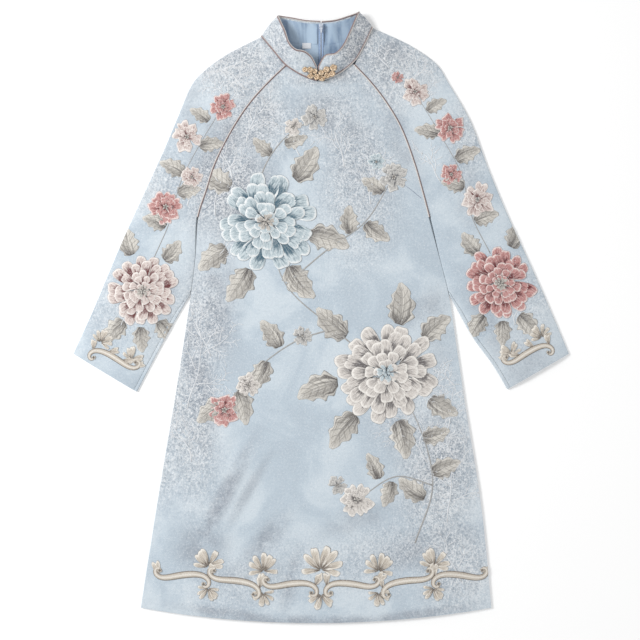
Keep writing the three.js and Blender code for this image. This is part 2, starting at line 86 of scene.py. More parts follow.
SLEEVES = {
    "left": dict(
        overarm=[(-94, 937), (-157, 904), (-191, 878), (-205, 862), (-231, 803), (-249, 760), (-317, 611),
                 (-367, 493), (-396, 430)],
        free=[(-238, 474), (-270, 415), (-294, 369)]),
    "right": dict(
        overarm=[(81.5, 951), (143, 922), (185, 892), (204, 862), (238, 803), (268, 724), (298, 652),
                 (336, 569), (366, 501), (396, 430)],
        free=[(243, 455), (275, 411), (297.5, 373)]),
}
SLEEVE_MIDDLE, TURN, TURN_GAP = 3.2, 5.5, 0.5
SIGN = {"left": -1, "right": 1}      # of x on each side, and of the outside of its collar band
COLLARS = {   # from the centre back round the shoulder to the centre front: neck seam, upper edge
    "left": [
        ((-1, 920, 5.2), (-1, 959, 8.5)), ((-30, 921, 4.4), (-25, 960.5, 8.5)),
        ((-60, 926, 3.4), (-47, 964.5, 8.6)), ((-82, 932, 3.2), (-61, 966.5, 9.5)),
        ((-94, 936.5, 6.4), (-68.5, 966.5, 14)), ((-88.5, 929, 10), (-66.5, 961, 19.5)),
        ((-74, 911, 13.6), (-58, 942, 26)), ((-57, 891, 15), (-50.5, 921, 31)),
        ((-41, 879.5, 15.8), (-40, 910.5, 32)), ((-26, 871.5, 16), (-27, 908, 30)),
        ((-14, 867, 16), (-16.5, 901, 25)), ((-6.2, 865, 16), (-8, 886, 20)),
    ],
    "right": [
        ((1, 920, 5.2), (1, 959, 8.5)), ((27, 922, 4.4), (23, 961.5, 8.5)),
        ((54, 931, 3.4), (43, 967.5, 8.6)), ((71, 943.5, 3.2), (55, 971.5, 9.5)),
        ((81.5, 951, 6.4), (60.5, 973, 14)), ((78, 942.5, 10), (58.5, 969, 19.5)),
        ((68, 921, 13.6), (51, 951, 26)), ((54, 897.5, 15), (43, 932, 31)),
        ((38, 883, 15.8), (34, 915, 32)), ((23, 873.5, 16), (22.5, 904.5, 30)),
        ((6, 866.5, 16), (7, 902, 26)), ((-4.4, 865, 16), (-3.4, 886, 20)),
    ],
}
COLLAR_FRONT_END = {"left": (-7.6, 869, 17.6), "right": (-3.1, 869, 17.6)}
ZIP_HALF, ZIP_SLIT = 4.2, 0.9
ZIP_ROUTE = [(560, 3), (868, 3.1), (900, 5.6), (920, 7.6), (956, 10.2)]
BEADS = [(-25.5, 880, 3.4), (-17.4, 879.6, 3.7), (-9.8, 877.6, 3.3), (-16.6, 870.6, 3.6), (-7, 869.4, 3.9),
         (0.4, 875.4, 3.6), (1.6, 867, 3.8), (8.6, 880, 3.9), (9.4, 871.4, 3.6), (17.4, 874, 3.8),
         (19.6, 882.6, 4.2)]
BEAD_SEAT = dict(y=866, z=17.9, slope=0.43)

# Soft folds of the front: route, width of the trough or ridge and its height.
FOLDS = [
    dict(route=[(-186, 655), (-194, 560), (-203, 470), (-216, 370)], width=8, height=-2.2),
    dict(route=[(-170, 640), (-178, 560), (-188, 470), (-198, 390)], width=12, height=1.9),
    dict(route=[(-128, 300), (-160, 220), (-205, 120)], width=11, height=-1.8),
    dict(route=[(-106, 292), (-138, 212), (-180, 110)], width=14, height=1.5),
    dict(route=[(-60, 190), (-92, 120), (-120, 60)], width=13, height=-1.3),
    dict(route=[(-36, 182), (-70, 112), (-96, 52)], width=16, height=1.1),
    dict(route=[(-65, 827), (-40, 785), (-14, 747)], width=4.5, height=1.1),
    dict(route=[(-76, 822), (-52, 778), (-28, 742)], width=7, height=-1.0),
    dict(route=[(150, 500), (180, 478), (206, 470)], width=6, height=-1.2),
    dict(route=[(140, 470), (172, 450), (204, 436)], width=8, height=0.9),
    dict(route=[(150, 420), (190, 330), (215, 250)], width=16, height=1.2),
    dict(route=[(130, 180), (150, 100), (158, 40)], width=18, height=1.1),
    dict(route=[(-30, 700), (-44, 640), (-50, 600)], width=14, height=0.9),
    dict(route=[(60, 840), (92, 770), (110, 720)], width=12, height=0.8),
    dict(route=[(-240, 190), (-252, 130), (-262, 60)], width=9, height=1.2),
    dict(route=[(-112, 282), (-152, 200), (-196, 112)], width=5, height=-1.2),
    dict(route=[(-128, 290), (-168, 208), (-212, 118)], width=5, height=1.0),
    dict(route=[(-40, 92), (-50, 62), (-54, 36)], width=7, height=-0.9),
]
SLEEVE_FOLDS = {
    "left": [
        dict(route=[(-212, 640), (-236, 600), (-268, 560)], width=8, height=-1.3),
        dict(route=[(-232, 520), (-262, 480), (-300, 450)], width=9, height=0.9),
        dict(route=[(-280, 450), (-310, 440), (-350, 430)], width=8, height=-0.9),
        dict(route=[(-150, 880), (-170, 830), (-190, 790)], width=14, height=1.0),
    ],
    "right": [
        dict(route=[(205, 640), (236, 600), (262, 566)], width=8, height=-1.3),
        dict(route=[(232, 520), (262, 486), (300, 452)], width=9, height=0.9),
        dict(route=[(282, 448), (316, 440), (350, 436)], width=8, height=-0.9),
        dict(route=[(130, 900), (158, 850), (180, 800)], width=14, height=1.0),
    ],
}
DARTS = [[(-187, 659), (-160, 680), (-129, 699)], [(160, 678), (136, 697), (110, 712)]]

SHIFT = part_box("front_body")[0][1] / MM      # from the pattern's frame to the part's


# ---- curves and grids ------------------------------------------------------------------------------------
def spline(points, per=16):
    """A smooth curve through the points, as a dense list."""
    p = np.array(points, float)
    p = np.vstack([2 * p[0] - p[1], p, 2 * p[-1] - p[-2]])
    t = np.linspace(0, 1, per, endpoint=False)[:, None]
    parts = []
    for a, b, c, d in zip(p, p[1:], p[2:], p[3:]):
        k0, k1, k2 = (max(np.linalg.norm(v), 1e-6) ** 0.5 for v in (b - a, c - b, d - c))
        start = ((b - a) / k0 - (c - a) / (k0 + k1) + (c - b) / k1) * k1
        stop = ((c - b) / k1 - (d - b) / (k1 + k2) + (d - c) / k2) * k1
        parts.append(b + start * t + (3 * (c - b) - 2 * start - stop) * t ** 2
                     + (2 * (b - c) + start + stop) * t ** 3)
    return np.vstack([*parts, p[-2:-1]])


def lengths(points):
    """Distance along the points at each of them."""
    return np.concatenate([[0], np.cumsum(np.linalg.norm(np.diff(points, axis=0), axis=1))])


def at_shares(points, shares):
    """Points at shares of the length of a dense curve."""
    along = lengths(points)
    return np.stack([np.interp(np.asarray(shares) * along[-1], along, c) for c in points.T], axis=-1)


def evenly(points, spacing):
    """Points at even distances along a dense curve."""
    count = max(2, round(lengths(points)[-1] / spacing))
    return at_shares(points, np.linspace(0, 1, count + 1))


def heading(angle):
    """Plan direction at each angle."""
    return np.stack([np.cos(angle), np.sin(angle)], -1)


def left_of(way):
    """Plan directions a quarter turn to the left."""
    return np.stack([-way[..., 1], way[..., 0]], -1)


def walk(start, angle, stride):
    """Points of a plan route, by its angle and stride at each of them."""
    return start + np.cumsum(heading(angle) * np.reshape(stride, (-1, 1)), axis=0)


def smooth(a, b, x):
    """0 up to a, 1 from b on, and a soft rise between them."""
    t = np.clip((np.asarray(x, float) - a) / (b - a), 0, 1)
    return t * t * (3 - 2 * t)


def columns_of(rows, keys):
    """Each named column of a table as a smooth function of the row, tabulated."""
    stops = np.arange(len(rows))
    fine = spline([[s, *(row[k] for k in keys)] for s, row in zip(stops, rows)], 40)
    return {k: (lambda t, c=fine[:, i + 1]: np.interp(t, fine[:, 0], c)) for i, k in enumerate(keys)}


def fold_height(folds, x, y):
    """Height that the folds add at each point."""
    total = np.zeros_like(x)
    for fold in folds:
        route = spline(fold["route"], 8)
        share = np.linspace(0, 1, len(route))
        near = np.full(x.shape, 1e9)
        strength = np.zeros_like(x)
        for (px, py), s in zip(route, share):
            d = np.hypot(x - px, y - py)
            closer = d < near
            near = np.where(closer, d, near)
            strength = np.where(closer, math.sin(math.pi * (0.08 + 0.84 * s)), strength)
        total += fold["height"] * strength * np.exp(-(near / fold["width"]) ** 2)
    return total


def normals_of(grid):
    """Unit normal at each point of a grid."""
    across = np.gradient(grid, axis=1)
    along = np.gradient(grid, axis=0)
    n = np.cross(across, along)
    return n / np.maximum(np.linalg.norm(n, axis=2, keepdims=True), 1e-9)


def facing_up(grid, side):
    """The grid with its rows in the order that makes its normals point up."""
    return grid if side == "right" else grid[:, ::-1]


def closed_faces(rows, cols):
    """Quads of two grids of points, one under the other, and of the rim between them."""
    i, j = np.meshgrid(np.arange(rows - 1), np.arange(cols - 1), indexing="ij")
    a = (i * cols + j).ravel()
    under = rows * cols
    top = np.stack([a, a + 1, a + cols + 1, a + cols], 1)
    bottom = np.stack([a, a + cols, a + cols + 1, a + 1], 1) + under
    rim = np.concatenate([
        np.arange(cols), np.arange(1, rows) * cols + cols - 1,
        (rows - 1) * cols + np.arange(cols - 2, -1, -1), np.arange(rows - 2, 0, -1) * cols])
    after = np.roll(rim, -1)
    edge = np.stack([rim, rim + under, after + under, after], 1)
    return np.concatenate([top, bottom, edge])


def wall(grid, thickness):
    """A closed wall round a grid that is its middle surface: points, quads and their places on the grid."""
    half = normals_of(grid) * thickness / 2
    rows, cols = grid.shape[:2]
    points = np.concatenate([(grid + half).reshape(-1, 3), (grid - half).reshape(-1, 3)])
    place = np.stack(np.meshgrid(np.linspace(0, 1, rows), np.linspace(0, 1, cols), indexing="ij"), -1)
    return points, closed_faces(rows, cols), np.tile(place.reshape(-1, 2)[:, ::-1], (2, 1))


def placed(name, data):
    """A new object in the scene."""
    thing = bpy.data.objects.new(name, data)
    bpy.context.collection.objects.link(thing)
    return thing


def make(name, points, faces, material, uv=None, numbers=None, colours=None, scaled=True):
    """A mesh object from points in the pattern's frame, with a UV map and attributes for each point."""
    mesh = bpy.data.meshes.new(name)
    mesh.materials.append(material)
    p = np.array(points, float)
    if scaled:
        p = (p + (0, SHIFT, 0)) * MM
    mesh.from_pydata(p.tolist(), [], [list(map(int, f)) for f in faces])
    if uv is not None:
        layer = mesh.uv_layers.new(name="UVMap")
        loops = np.empty(len(mesh.loops), int)
        mesh.loops.foreach_get("vertex_index", loops)
        layer.data.foreach_set("uv", np.asarray(uv, np.float32)[loops].ravel())
    for key, value in (numbers or {}).items():
        mesh.attributes.new(key, "FLOAT", "POINT").data.foreach_set("value", np.asarray(value, np.float32))
    for key, value in (colours or {}).items():
        rgba = np.ones((len(p), 4), np.float32)
        rgba[:, :3] = value
        mesh.attributes.new(key, "FLOAT_COLOR", "POINT").data.foreach_set("color", rgba.ravel())
    mesh.polygons.foreach_set("use_smooth", np.ones(len(mesh.polygons), bool))
    mesh.update()
    return placed(name, mesh)


def bevelled(piece, width, angle=50):
    """Rounds a piece's sharp edges and keeps the result as a plain mesh."""
    bevel = piece.modifiers.new("Rounded edges", "BEVEL")
    bevel.width = width * MM
    bevel.segments = 2
    bevel.limit_method = "ANGLE"
    bevel.angle_limit = math.radians(angle)
    return settled(piece)


def shell(name, grid, thickness, material, rounding, numbers=None):
    """A closed, rounded wall of cloth round a grid, with a number at each point where the material asks."""
    points, faces, uv = wall(grid, thickness)
    numbers = {key: measure(points) for key, measure in (numbers or {}).items()}
    return bevelled(make(name, points, faces, material, uv, numbers), rounding)


def settled(piece):
    """The piece with its modifiers worked into its mesh."""
    done = bpy.data.meshes.new_from_object(piece.evaluated_get(bpy.context.evaluated_depsgraph_get()))
    piece.modifiers.clear()
    piece.data = done
    done.polygons.foreach_set("use_smooth", np.ones(len(done.polygons), bool))
    return piece


# ---- materials -------------------------------------------------------------------------------------------
class Wire:
    """A socket of a material's tree. Arithmetic on it adds Math nodes."""

    def __init__(self, recipe, socket):
        self.recipe, self.socket = recipe, socket

    def _math(self, operation, *values):
        return self.recipe.node("ShaderNodeMath", dict(operation=operation), dict(enumerate(values)))

    def __add__(self, other):
        return self._math("ADD", self, other)

    def __mul__(self, other):
        return self._math("MULTIPLY", self, other)

    def __sub__(self, other):
        return self._math("SUBTRACT", self, other)

    def __rsub__(self, other):
        return self._math("SUBTRACT", other, self)

    __radd__ = __add__
    __rmul__ = __mul__

    def least(self, other):
        return self._math("MINIMUM", self, other)

    def most(self, other):
        return self._math("MAXIMUM", self, other)

    def size(self):
        return self._math("ABSOLUTE", self)

    def wave(self):
        return self._math("SINE", self)

    def step(self, low, high, to_low=0.0, to_high=1.0):
        return self.recipe.node("ShaderNodeMapRange", dict(interpolation_type="SMOOTHSTEP", clamp=True),
                                {0: self, 1: low, 2: high, 3: to_low, 4: to_high})


class Recipe:
    """A material and the one way in which nodes are added to it."""

    def __init__(self, name):
        self.material = bpy.data.materials.new(name)
        self.material.use_nodes = True
        self.tree = self.material.node_tree
        self.tree.nodes.clear()

    def node(self, kind, settings=None, values=None, out=0):
        made = self.tree.nodes.new(kind)
        for key, value in (settings or {}).items():
            setattr(made, key, value)
        for key, value in (values or {}).items():
            if isinstance(value, Wire):
                self.tree.links.new(value.socket, made.inputs[key])
            else:
                made.inputs[key].default_value = value
        return Wire(self, made.outputs[out])

    def place(self):
        return self.node("ShaderNodeTexCoord", out="Object")

    def across_along(self):
        uv = self.node("ShaderNodeUVMap", dict(uv_map="UVMap"))
        u = self.node("ShaderNodeSeparateXYZ", None, {0: uv})
        return u, Wire(self, u.socket.node.outputs[1])

    def number(self, name):
        return self.node("ShaderNodeAttribute", dict(attribute_name=name), out="Fac")

    def tint(self, name):
        return self.node("ShaderNodeAttribute", dict(attribute_name=name), out="Color")

    def noise(self, scale, detail=2.0, rough=0.5, where=None, stretch=(1, 1, 1), warp=0.0):
        where = where or self.place()
        if stretch != (1, 1, 1):
            where = self.node("ShaderNodeMapping", None, {"Vector": where, "Scale": stretch})
        return self.node("ShaderNodeTexNoise", None, {
            "Vector": where, "Scale": scale, "Detail": detail, "Roughness": rough, "Distortion": warp})

    def mix(self, share, a, b):
        return self.node("ShaderNodeMix", dict(data_type="RGBA"), {0: share, 6: a, 7: b}, out=2)

    def bump(self, height, strength, distance):
        return self.node("ShaderNodeBump", None,
                         {"Height": height, "Strength": strength, "Distance": distance})

    def finish(self, colour, **sockets):
        shader = self.node("ShaderNodeBsdfPrincipled", None, {
            "Base Color": colour, **{k.replace("_", " "): v for k, v in sockets.items()}})
        out = self.tree.nodes.new("ShaderNodeOutputMaterial")
        self.tree.links.new(shader.socket, out.inputs["Surface"])
        return self.material


def srgb(r, g, b):
    """Linear colour of an 8-bit display colour."""
    return tuple(((v / 255 + 0.055) / 1.055) ** 2.4 if v > 10 else v / 3294 for v in (r, g, b)) + (1.0,)


PALE_BLUE = srgb(190, 204, 215)
ICE = srgb(207, 218, 226)
# grey of the smoky zones: partly the cloth's own clouding, partly painted shade along folds and the hem
SMOKE_AND_SHADE = srgb(146, 153, 163)
ASH = srgb(160, 168, 178)
SILVER = srgb(246, 248, 250)
SHADOW_BLUE = srgb(124, 136, 152)


def brocade():
    """Pale blue jacquard: clouded ground, smoky grey zones that are partly the cloth's own clouding and
    partly painted shade, silver thread, speckled weave.
    """
    m = Recipe("Brocade")
    cloud = m.noise(9, 4, 0.6, warp=0.6)
    haze = m.noise(30, 3, 0.6)
    silver = m.number("silver")
    smoke_and_shade = m.number("smoke_and_shade")
    coarse = m.noise(300, 2, 0.75)
    grain = m.noise(620, 2, 0.7)
    fine = m.noise(1500, 1, 0.6)
    brushed = m.noise(170, 3, 0.65, stretch=(1, 0.5, 1), warp=1.2)
    curls = (m.noise(58, 3, 0.6, warp=3.0) - 0.5).size().step(0.0, 0.05, 1.0, 0.0)
    threads = (m.noise(105, 4, 0.7, warp=2.4) - 0.5).size().step(0.0, 0.07, 1.0, 0.0)
    lines = curls.most(threads)
    colour = m.mix(cloud.step(0.42, 0.62), PALE_BLUE, ICE)
    # Smoky grey from the zones: partly the cloth's own clouding, partly painted shade along folds, at the
    # hem and on the right side.
    dusk = (smoke_and_shade * haze.step(0.3, 0.62, 0.35, 1.0)) + cloud.step(0.55, 0.3, 0.0, 0.16)
    colour = m.mix(dusk.least(0.85), colour, SMOKE_AND_SHADE)
    colour = m.mix(silver * brushed.step(0.6, 0.42) * 0.55, colour, ASH)
    colour = m.mix(silver * lines * brushed.step(0.36, 0.56), colour, SILVER)
    colour = m.mix((silver * 0.8 + 0.12) * coarse.step(0.56, 0.63), colour, SILVER)
    colour = m.mix((silver * 0.3 + 0.34) * grain.step(0.56, 0.66), colour, SILVER)
    colour = m.mix((smoke_and_shade * 0.35 + silver * 0.4 + 0.1) * coarse.step(0.44, 0.37), colour, SHADOW_BLUE)
    relief = brushed * silver + lines * silver * 0.9 + coarse * 0.6 + grain * 0.5 + fine * 0.25
    return m.finish(colour, Roughness=(silver * -0.18 + 0.62), Normal=m.bump(relief, 0.6, 0.0009),
                    Sheen_Weight=0.2, Sheen_Roughness=0.4, Specular_IOR_Level=0.35)


def woven_motif():
    """Petals, leaves and scrolls: dark where they spring from, partly the weave's deep colour and partly
    painted shade under the petal above; light along the rim, streaked lengthwise; painted shade on one half
    of a leaf; on scrolls painted shade at the edges and a painted highlight along the middle.
    """
    m = Recipe("Woven motif")
    u, v = m.across_along()
    light, deep = m.tint("light"), m.tint("deep")
    vary, veins, band = m.number("vary"), m.number("veins"), m.number("band")
    side = (u - 0.5).size() * 2
    lane = m.node("ShaderNodeCombineXYZ", None,
                  {0: u * 11 + vary * 37, 1: v * 1.5 + vary * 11, 2: vary * 5})
    streak = m.noise(1.0, 3, 0.62, where=lane, warp=0.5)
    thin = m.node("ShaderNodeCombineXYZ", None,
                  {0: u * 26 + vary * 53, 1: v * 2.2 + vary * 7, 2: vary * 9})
    thread = m.noise(1.0, 2, 0.6, where=thin, warp=0.4)
    grain = m.noise(620, 2, 0.7)
    # Dark where a petal springs from: partly the weave's own deep colour, partly painted shade where the
    # petal above covers it.
    root_deep_and_shade = (v + streak * 0.8 - 0.42).step(0.02, 0.46, 1.0, 0.0)
    colour = m.mix(root_deep_and_shade, light, deep)
    colour = m.mix(streak.step(0.54, 0.4) * v.step(1.0, 0.35) * 0.5, colour, deep)
    colour = m.mix(thread.step(0.46, 0.38) * v.step(1.0, 0.6) * 0.42, colour, deep)
    colour = m.mix(thread.step(0.54, 0.62) * 0.32, colour, m.tint("rim"))
    rib = ((v * 7 - side * 1.6) * 6.2832).wave().step(0.72, 0.98)
    rib = rib.most(side.step(0.1, 0.03)) * veins
    colour = m.mix(rib * 0.42, colour, deep)
    # Painted shade: one half of each leaf is darker, as if the leaf were folded along its midrib.
    colour = m.mix(u.step(0.47, 0.6) * veins * 0.26, colour, deep)
    uneven = (streak - 0.5) * 0.5
    rim = (side + uneven).step(0.7, 0.92).most((v + uneven).step(0.76, 0.94))
    rim = rim * (1 - veins * 0.45) * (1 - band)
    colour = m.mix(rim * 0.9, colour, m.tint("rim"))
    # Painted shade along a scroll's edges and a painted highlight down its middle, as on a round cord.
    colour = m.mix(side.step(0.62, 0.94) * band * 0.85, colour, deep)
    colour = m.mix(side.step(0.42, 0.12) * band * 0.7, colour, m.tint("rim"))
    line = side.step(0.955, 0.995).most(v.step(0.965, 0.995))
    colour = m.mix(line * m.number("outline"), colour, deep)
    colour = m.mix(grain.step(0.56, 0.7) * 0.42, colour, SILVER)
    colour = m.mix(grain.step(0.45, 0.34) * 0.2, colour, deep)
    relief = streak * 0.6 + thread * 0.8 + grain * 0.5
    return m.finish(colour, Roughness=0.66, Normal=m.bump(relief, 0.6, 0.0008),
                    Sheen_Weight=0.2, Sheen_Roughness=0.4, Specular_IOR_Level=0.3)


def satin():
    """Smooth blue lining with a soft cross grain."""
    m = Recipe("Blue satin")
    broad = m.noise(70, 2, 0.5, stretch=(1, 0.22, 1), warp=0.5)
    grain = m.noise(900, 2, 0.6, stretch=(1, 0.25, 1))
    colour = m.mix(broad.step(0.35, 0.65), srgb(128, 152, 180), srgb(176, 197, 217))
    colour = m.mix(grain.step(0.5, 0.66) * 0.25, colour, srgb(196, 211, 226))
    return m.finish(colour, Roughness=0.42, Normal=m.bump(grain, 0.3, 0.0003),
                    Sheen_Weight=0.2, Anisotropic=0.3)


def bias_piping():
    """Dusty rose cord with a cream edge along one side and a slanting weave."""
    m = Recipe("Bias piping")
    u, v = m.across_along()
    twist = (u * 12.566 + v * 1).wave()
    grain = m.noise(900, 2, 0.6)
    rose = m.mix(grain.step(0.4, 0.65), srgb(122, 98, 99), srgb(156, 134, 133))
    cream = m.mix(grain.step(0.4, 0.65), srgb(196, 191, 187), srgb(232, 228, 224))
    colour = m.mix(u.step(0.47, 0.53), rose, cream)
    groove = (u - 0.5).size().step(0.05, 0.02)
    colour = m.mix(groove * 0.6, colour, srgb(102, 80, 78))
    return m.finish(colour, Roughness=0.5, Normal=m.bump(twist * 0.3 + grain, 0.4, 0.0004),
                    Sheen_Weight=0.3)


def plain_thread(name, light, deep, roughness=0.55, scale=900):
    """A fine thread in two close shades."""
    m = Recipe(name)
    grain = m.noise(scale, 2, 0.6)
    colour = m.mix(grain.step(0.38, 0.64), deep, light)
    return m.finish(colour, Roughness=roughness, Normal=m.bump(grain, 0.35, 0.0003), Sheen_Weight=0.15)


def metal(name, light, deep, roughness):
    """Soft cast or lacquered metal in two close shades."""
    m = Recipe(name)
    cast = m.noise(420, 3, 0.6)
    colour = m.mix(cast.step(0.35, 0.7), deep, light)
    return m.finish(colour, Metallic=0.45, Roughness=cast.step(0.3, 0.7, roughness, roughness + 0.15),
                    Normal=m.bump(cast, 0.25, 0.0003))


BROCADE = brocade()
MOTIF = woven_motif()
SATIN_BLUE = satin()
PIPED = bias_piping()
SEAM_SHADE = plain_thread("Seam shade", srgb(150, 160, 178), srgb(112, 122, 142))
TAPE = plain_thread("Zip tape", srgb(176, 198, 226), srgb(140, 166, 204), 0.6, 1400)
ZIP_WHITE = plain_thread("Zip coil", srgb(222, 230, 240), srgb(178, 194, 216), 0.4)
LABEL_WHITE = plain_thread("Label", srgb(238, 240, 243), srgb(214, 218, 226), 0.6, 1600)
PALE_GOLD = metal("Pale gold", srgb(230, 212, 188), srgb(182, 154, 122), 0.36)
LACQUER = metal("Pale lacquer", srgb(236, 240, 246), srgb(196, 208, 226), 0.3)


# ---- body and sleeves ------------------------------------------------------------------------------------
front = columns_of(BODY, ["y", "left", "right", "sag", "edge", "middle"])
FINE_T = np.linspace(0, len(BODY) - 1, 2000)
NECK_T = len(BODY) - 1


def front_rows():
    """Row numbers of the front at even heights, from hem to neck."""
    heights = front["y"](FINE_T)
    count = round((heights[-1] - heights[0]) / SPACING)
    return np.interp(np.linspace(heights[0], heights[-1] - 1.3, count), heights, FINE_T)


def seam_room(t):
    """How far a panel stops from its seam line, which is further where the seam is piped."""
    return 0.2 + (PIPING - 0.3) * smooth(UNDERARM - 1.2, UNDERARM, t)


def front_edge(side, t):
    """Side seam and raglan seam of the front."""
    return np.stack([front[side](t), front["y"](t)], -1)


def sideways(points):
    """Directions to the left of the way that plan points run."""
    left = left_of(np.gradient(points, axis=0))
    return left / np.maximum(np.linalg.norm(left, axis=1, keepdims=True), 1e-9)


def shifted(points, by):
    """Plan points moved to the left of the way they run."""
    return points + sideways(points) * np.reshape(by, (-1, 1))


def front_height(x, y, t, u):
    """Height of the front above the surface, lower towards its edges, with its folds."""
    inside = 1 - np.abs(u) ** 5
    edge, middle = front["edge"](t), front["middle"](t)
    return CLOTH * 1.5 + edge + (middle - edge) * inside + fold_height(FOLDS, x, y) * (1 - np.abs(u) ** 12)


def front_grid():
    """The front panel from hem to neck."""
    t = front_rows()
    left = shifted(front_edge("left", t), -seam_room(t))
    right = shifted(front_edge("right", t), seam_room(t))
    width = 560
    s = np.concatenate([[0, 0.8 / width, 2 / width], np.linspace(4.4 / width, 1 - 4.4 / width, 120),
                        [1 - 2 / width, 1 - 0.8 / width, 1]])
    u = 2 * s - 1
    x = left[:, :1] + (right[:, :1] - left[:, :1]) * s
    y = left[:, 1:] + (right[:, 1:] - left[:, 1:]) * s - front["sag"](t)[:, None] * (1 - u * u)
    y += 4.4 * smooth(0.1, 0.5, u) * smooth(1.05, 0.93, u) * smooth(NECK_T - 0.8, NECK_T, t)[:, None]
    y += 1.2 * smooth(0, 0.4, -u) * smooth(1, 0.86, -u) * smooth(NECK_T - 0.8, NECK_T, t)[:, None]
    tt = np.repeat(t[:, None], len(s), 1)
    uu = np.repeat(u[None], len(t), 0)
    return np.stack([x, y, front_height(x, y, tt, uu)], -1)


BACK = BODY[:UNDERARM + 1] + BACK_TOP
back = columns_of(BACK, ["y", "left", "right"])
BACK_END = len(BACK) - 1


def back_edge(side, t):
    """Side seam and raglan seam of the back."""
    rise = BACK_NECK_RISE if side == "right" else 0
    return np.stack([back[side](t), back["y"](t) + rise * smooth(BACK_END - 5, BACK_END, t)], -1)


def back_lift(x, y):
    """How far the zip's top lifts the back."""
    return 3.2 * np.exp(-(x / 30) ** 2) * smooth(870, 918, y)


def back_grid(side):
    """Half of the back, from the centre seam to the side."""
    sign = SIGN[side]
    fine = np.linspace(0, BACK_END, 2000)
    heights = back["y"](fine)
    t = np.interp(np.linspace(heights[0], heights[-1] - 2.4, 110), heights, fine)
    edge = shifted(back_edge(side, t), sign * 0.2)
    neck = back_edge(side, np.array([BACK_END - 0.01, BACK_END]))[-1, 1]
    sag = BODY[0]["sag"] * (1 - smooth(0, 4, t))
    dip = (neck - BACK_NECK) * np.maximum(0, t - UNDERARM) / (BACK_END - UNDERARM)
    centre_y = edge[:, 1] - sag - dip
    centre_x = sign * (0.2 + (ZIP_SLIT - 0.2) * smooth(540, 560, edge[:, 1]))
    share = np.linspace(0, 1, 40)
    steepness = 2 + smooth(BACK_END - 3, BACK_END, t)
    x = centre_x[:, None] + (edge[:, :1] - centre_x[:, None]) * share
    y = centre_y[:, None] + (edge[:, 1:] - centre_y[:, None]) * share ** steepness[:, None]
    grid = np.stack([x, y, SHELL / 2 + back_lift(x, y)], -1)
    return facing_up(grid, side)


FREE_POINTS = 30
TURN_SETBACK = (CLOTH + TURN_GAP) / 2 + CLOTH / 2


def inner_edge(side, edge_of, end):
    """Inner edge of a sleeve from cuff to neck: free at first, then shared with the body."""
    t = np.interp(np.linspace(edge_of(side, np.array([SLEEVE_LEAVES, end]))[0, 1],
                              edge_of(side, np.array([SLEEVE_LEAVES, end]))[1, 1] - 1.4, 84),
                  edge_of(side, FINE_T[FINE_T <= end])[:, 1], FINE_T[FINE_T <= end])
    shared = edge_of(side, t)
    free = evenly(spline([*SLEEVES[side]["free"][::-1], tuple(shared[0])]), 5.2)
    free = at_shares(free, np.linspace(0, 1, FREE_POINTS + 1))[:-1]
    return np.vstack([free, shared]), np.concatenate([np.full(FREE_POINTS, float(SLEEVE_LEAVES)), t])


def sleeve_grid(side):
    """The whole sleeve as one strip: from the seam over the front, round the overarm edge and under."""
    sign = SIGN[side]
    points, t = inner_edge(side, front_edge, NECK_T)
    under, _ = inner_edge(side, back_edge, BACK_END)
    share = lengths(points) / lengths(points)[-1]
    outer = at_shares(spline(SLEEVES[side]["overarm"][::-1]), share)
    step = np.arange(len(points))
    turn = TURN + (TURN_SETBACK + 0.4 - TURN) * smooth(FREE_POINTS - 7, FREE_POINTS, step)
    free = step <= FREE_POINTS
    inset = np.where(free, turn + 0.45, seam_room(t) + 0.2)
    seam = shifted(points, -sign * inset)
    under = shifted(under, -sign * np.where(free, TURN_SETBACK, 0.2))
    raglan = smooth(UNDERARM - 1.5, UNDERARM + 1, t)
    rows = []
    u = 1 - np.linspace(0, 1, 34)
    across = points - outer
    across /= np.linalg.norm(across, axis=1, keepdims=True)
    for i, (o, s, b) in enumerate(zip(outer, seam, under)):
        rising = (front["edge"](t[i]) - 0.3) * (1 - (1 - u) ** 4)
        tube = (SLEEVE_MIDDLE - 0.3) * (1 - np.abs(2 * u - 1) ** 4)
        start = o + across[i] * 1.7
        plan = start + (s - start) * u[:, None]
        z = CLOTH * 1.5 + 0.3 + tube * (1 - raglan[i]) + rising * raglan[i] + 0.2 * u * (1 - raglan[i])
        z = z + fold_height(SLEEVE_FOLDS[side], plan[:, 0], plan[:, 1]) * np.sin(math.pi * u) ** 0.5
        high, low = z[-1], SHELL / 2
        angle = np.linspace(0, math.pi, 9)[1:-1]
        bend = start - across[i] * (np.sin(angle) * 1.05)[:, None]
        bend_z = (high + low) / 2 + (high - low) / 2 * np.cos(angle)
        flat = start + (b - start) * np.linspace(0, 1, 16)[:, None]
        if free[i]:
            angle = np.linspace(0, math.pi, 9)[1:]
            radius = (CLOTH + TURN_GAP) / 2
            roll = b + across[i] * (np.sin(angle) * radius)[:, None]
            roll_z = low + (z[0] - low) * (1 - np.cos(angle)) / 2
            end = b - across[i] * max(turn[i] - TURN_SETBACK, 0.4)
            roll = np.vstack([roll, (roll[-1] + end) / 2, end])
            roll_z = np.concatenate([roll_z, [z[0], z[0]]])
        else:
            flat = start + (b - across[i] * 1.5 - start) * np.linspace(0, 1, 16)[:, None]
            roll = np.linspace(b - across[i] * 1.5, b, 11)[1:]
            roll_z = np.full(10, low)
        rows.append(np.column_stack([np.vstack([plan, bend, flat, roll]),
                                     np.concatenate([z, bend_z, np.full(16, low), roll_z])]))
    grid = np.array(rows)
    return facing_up(grid, side)
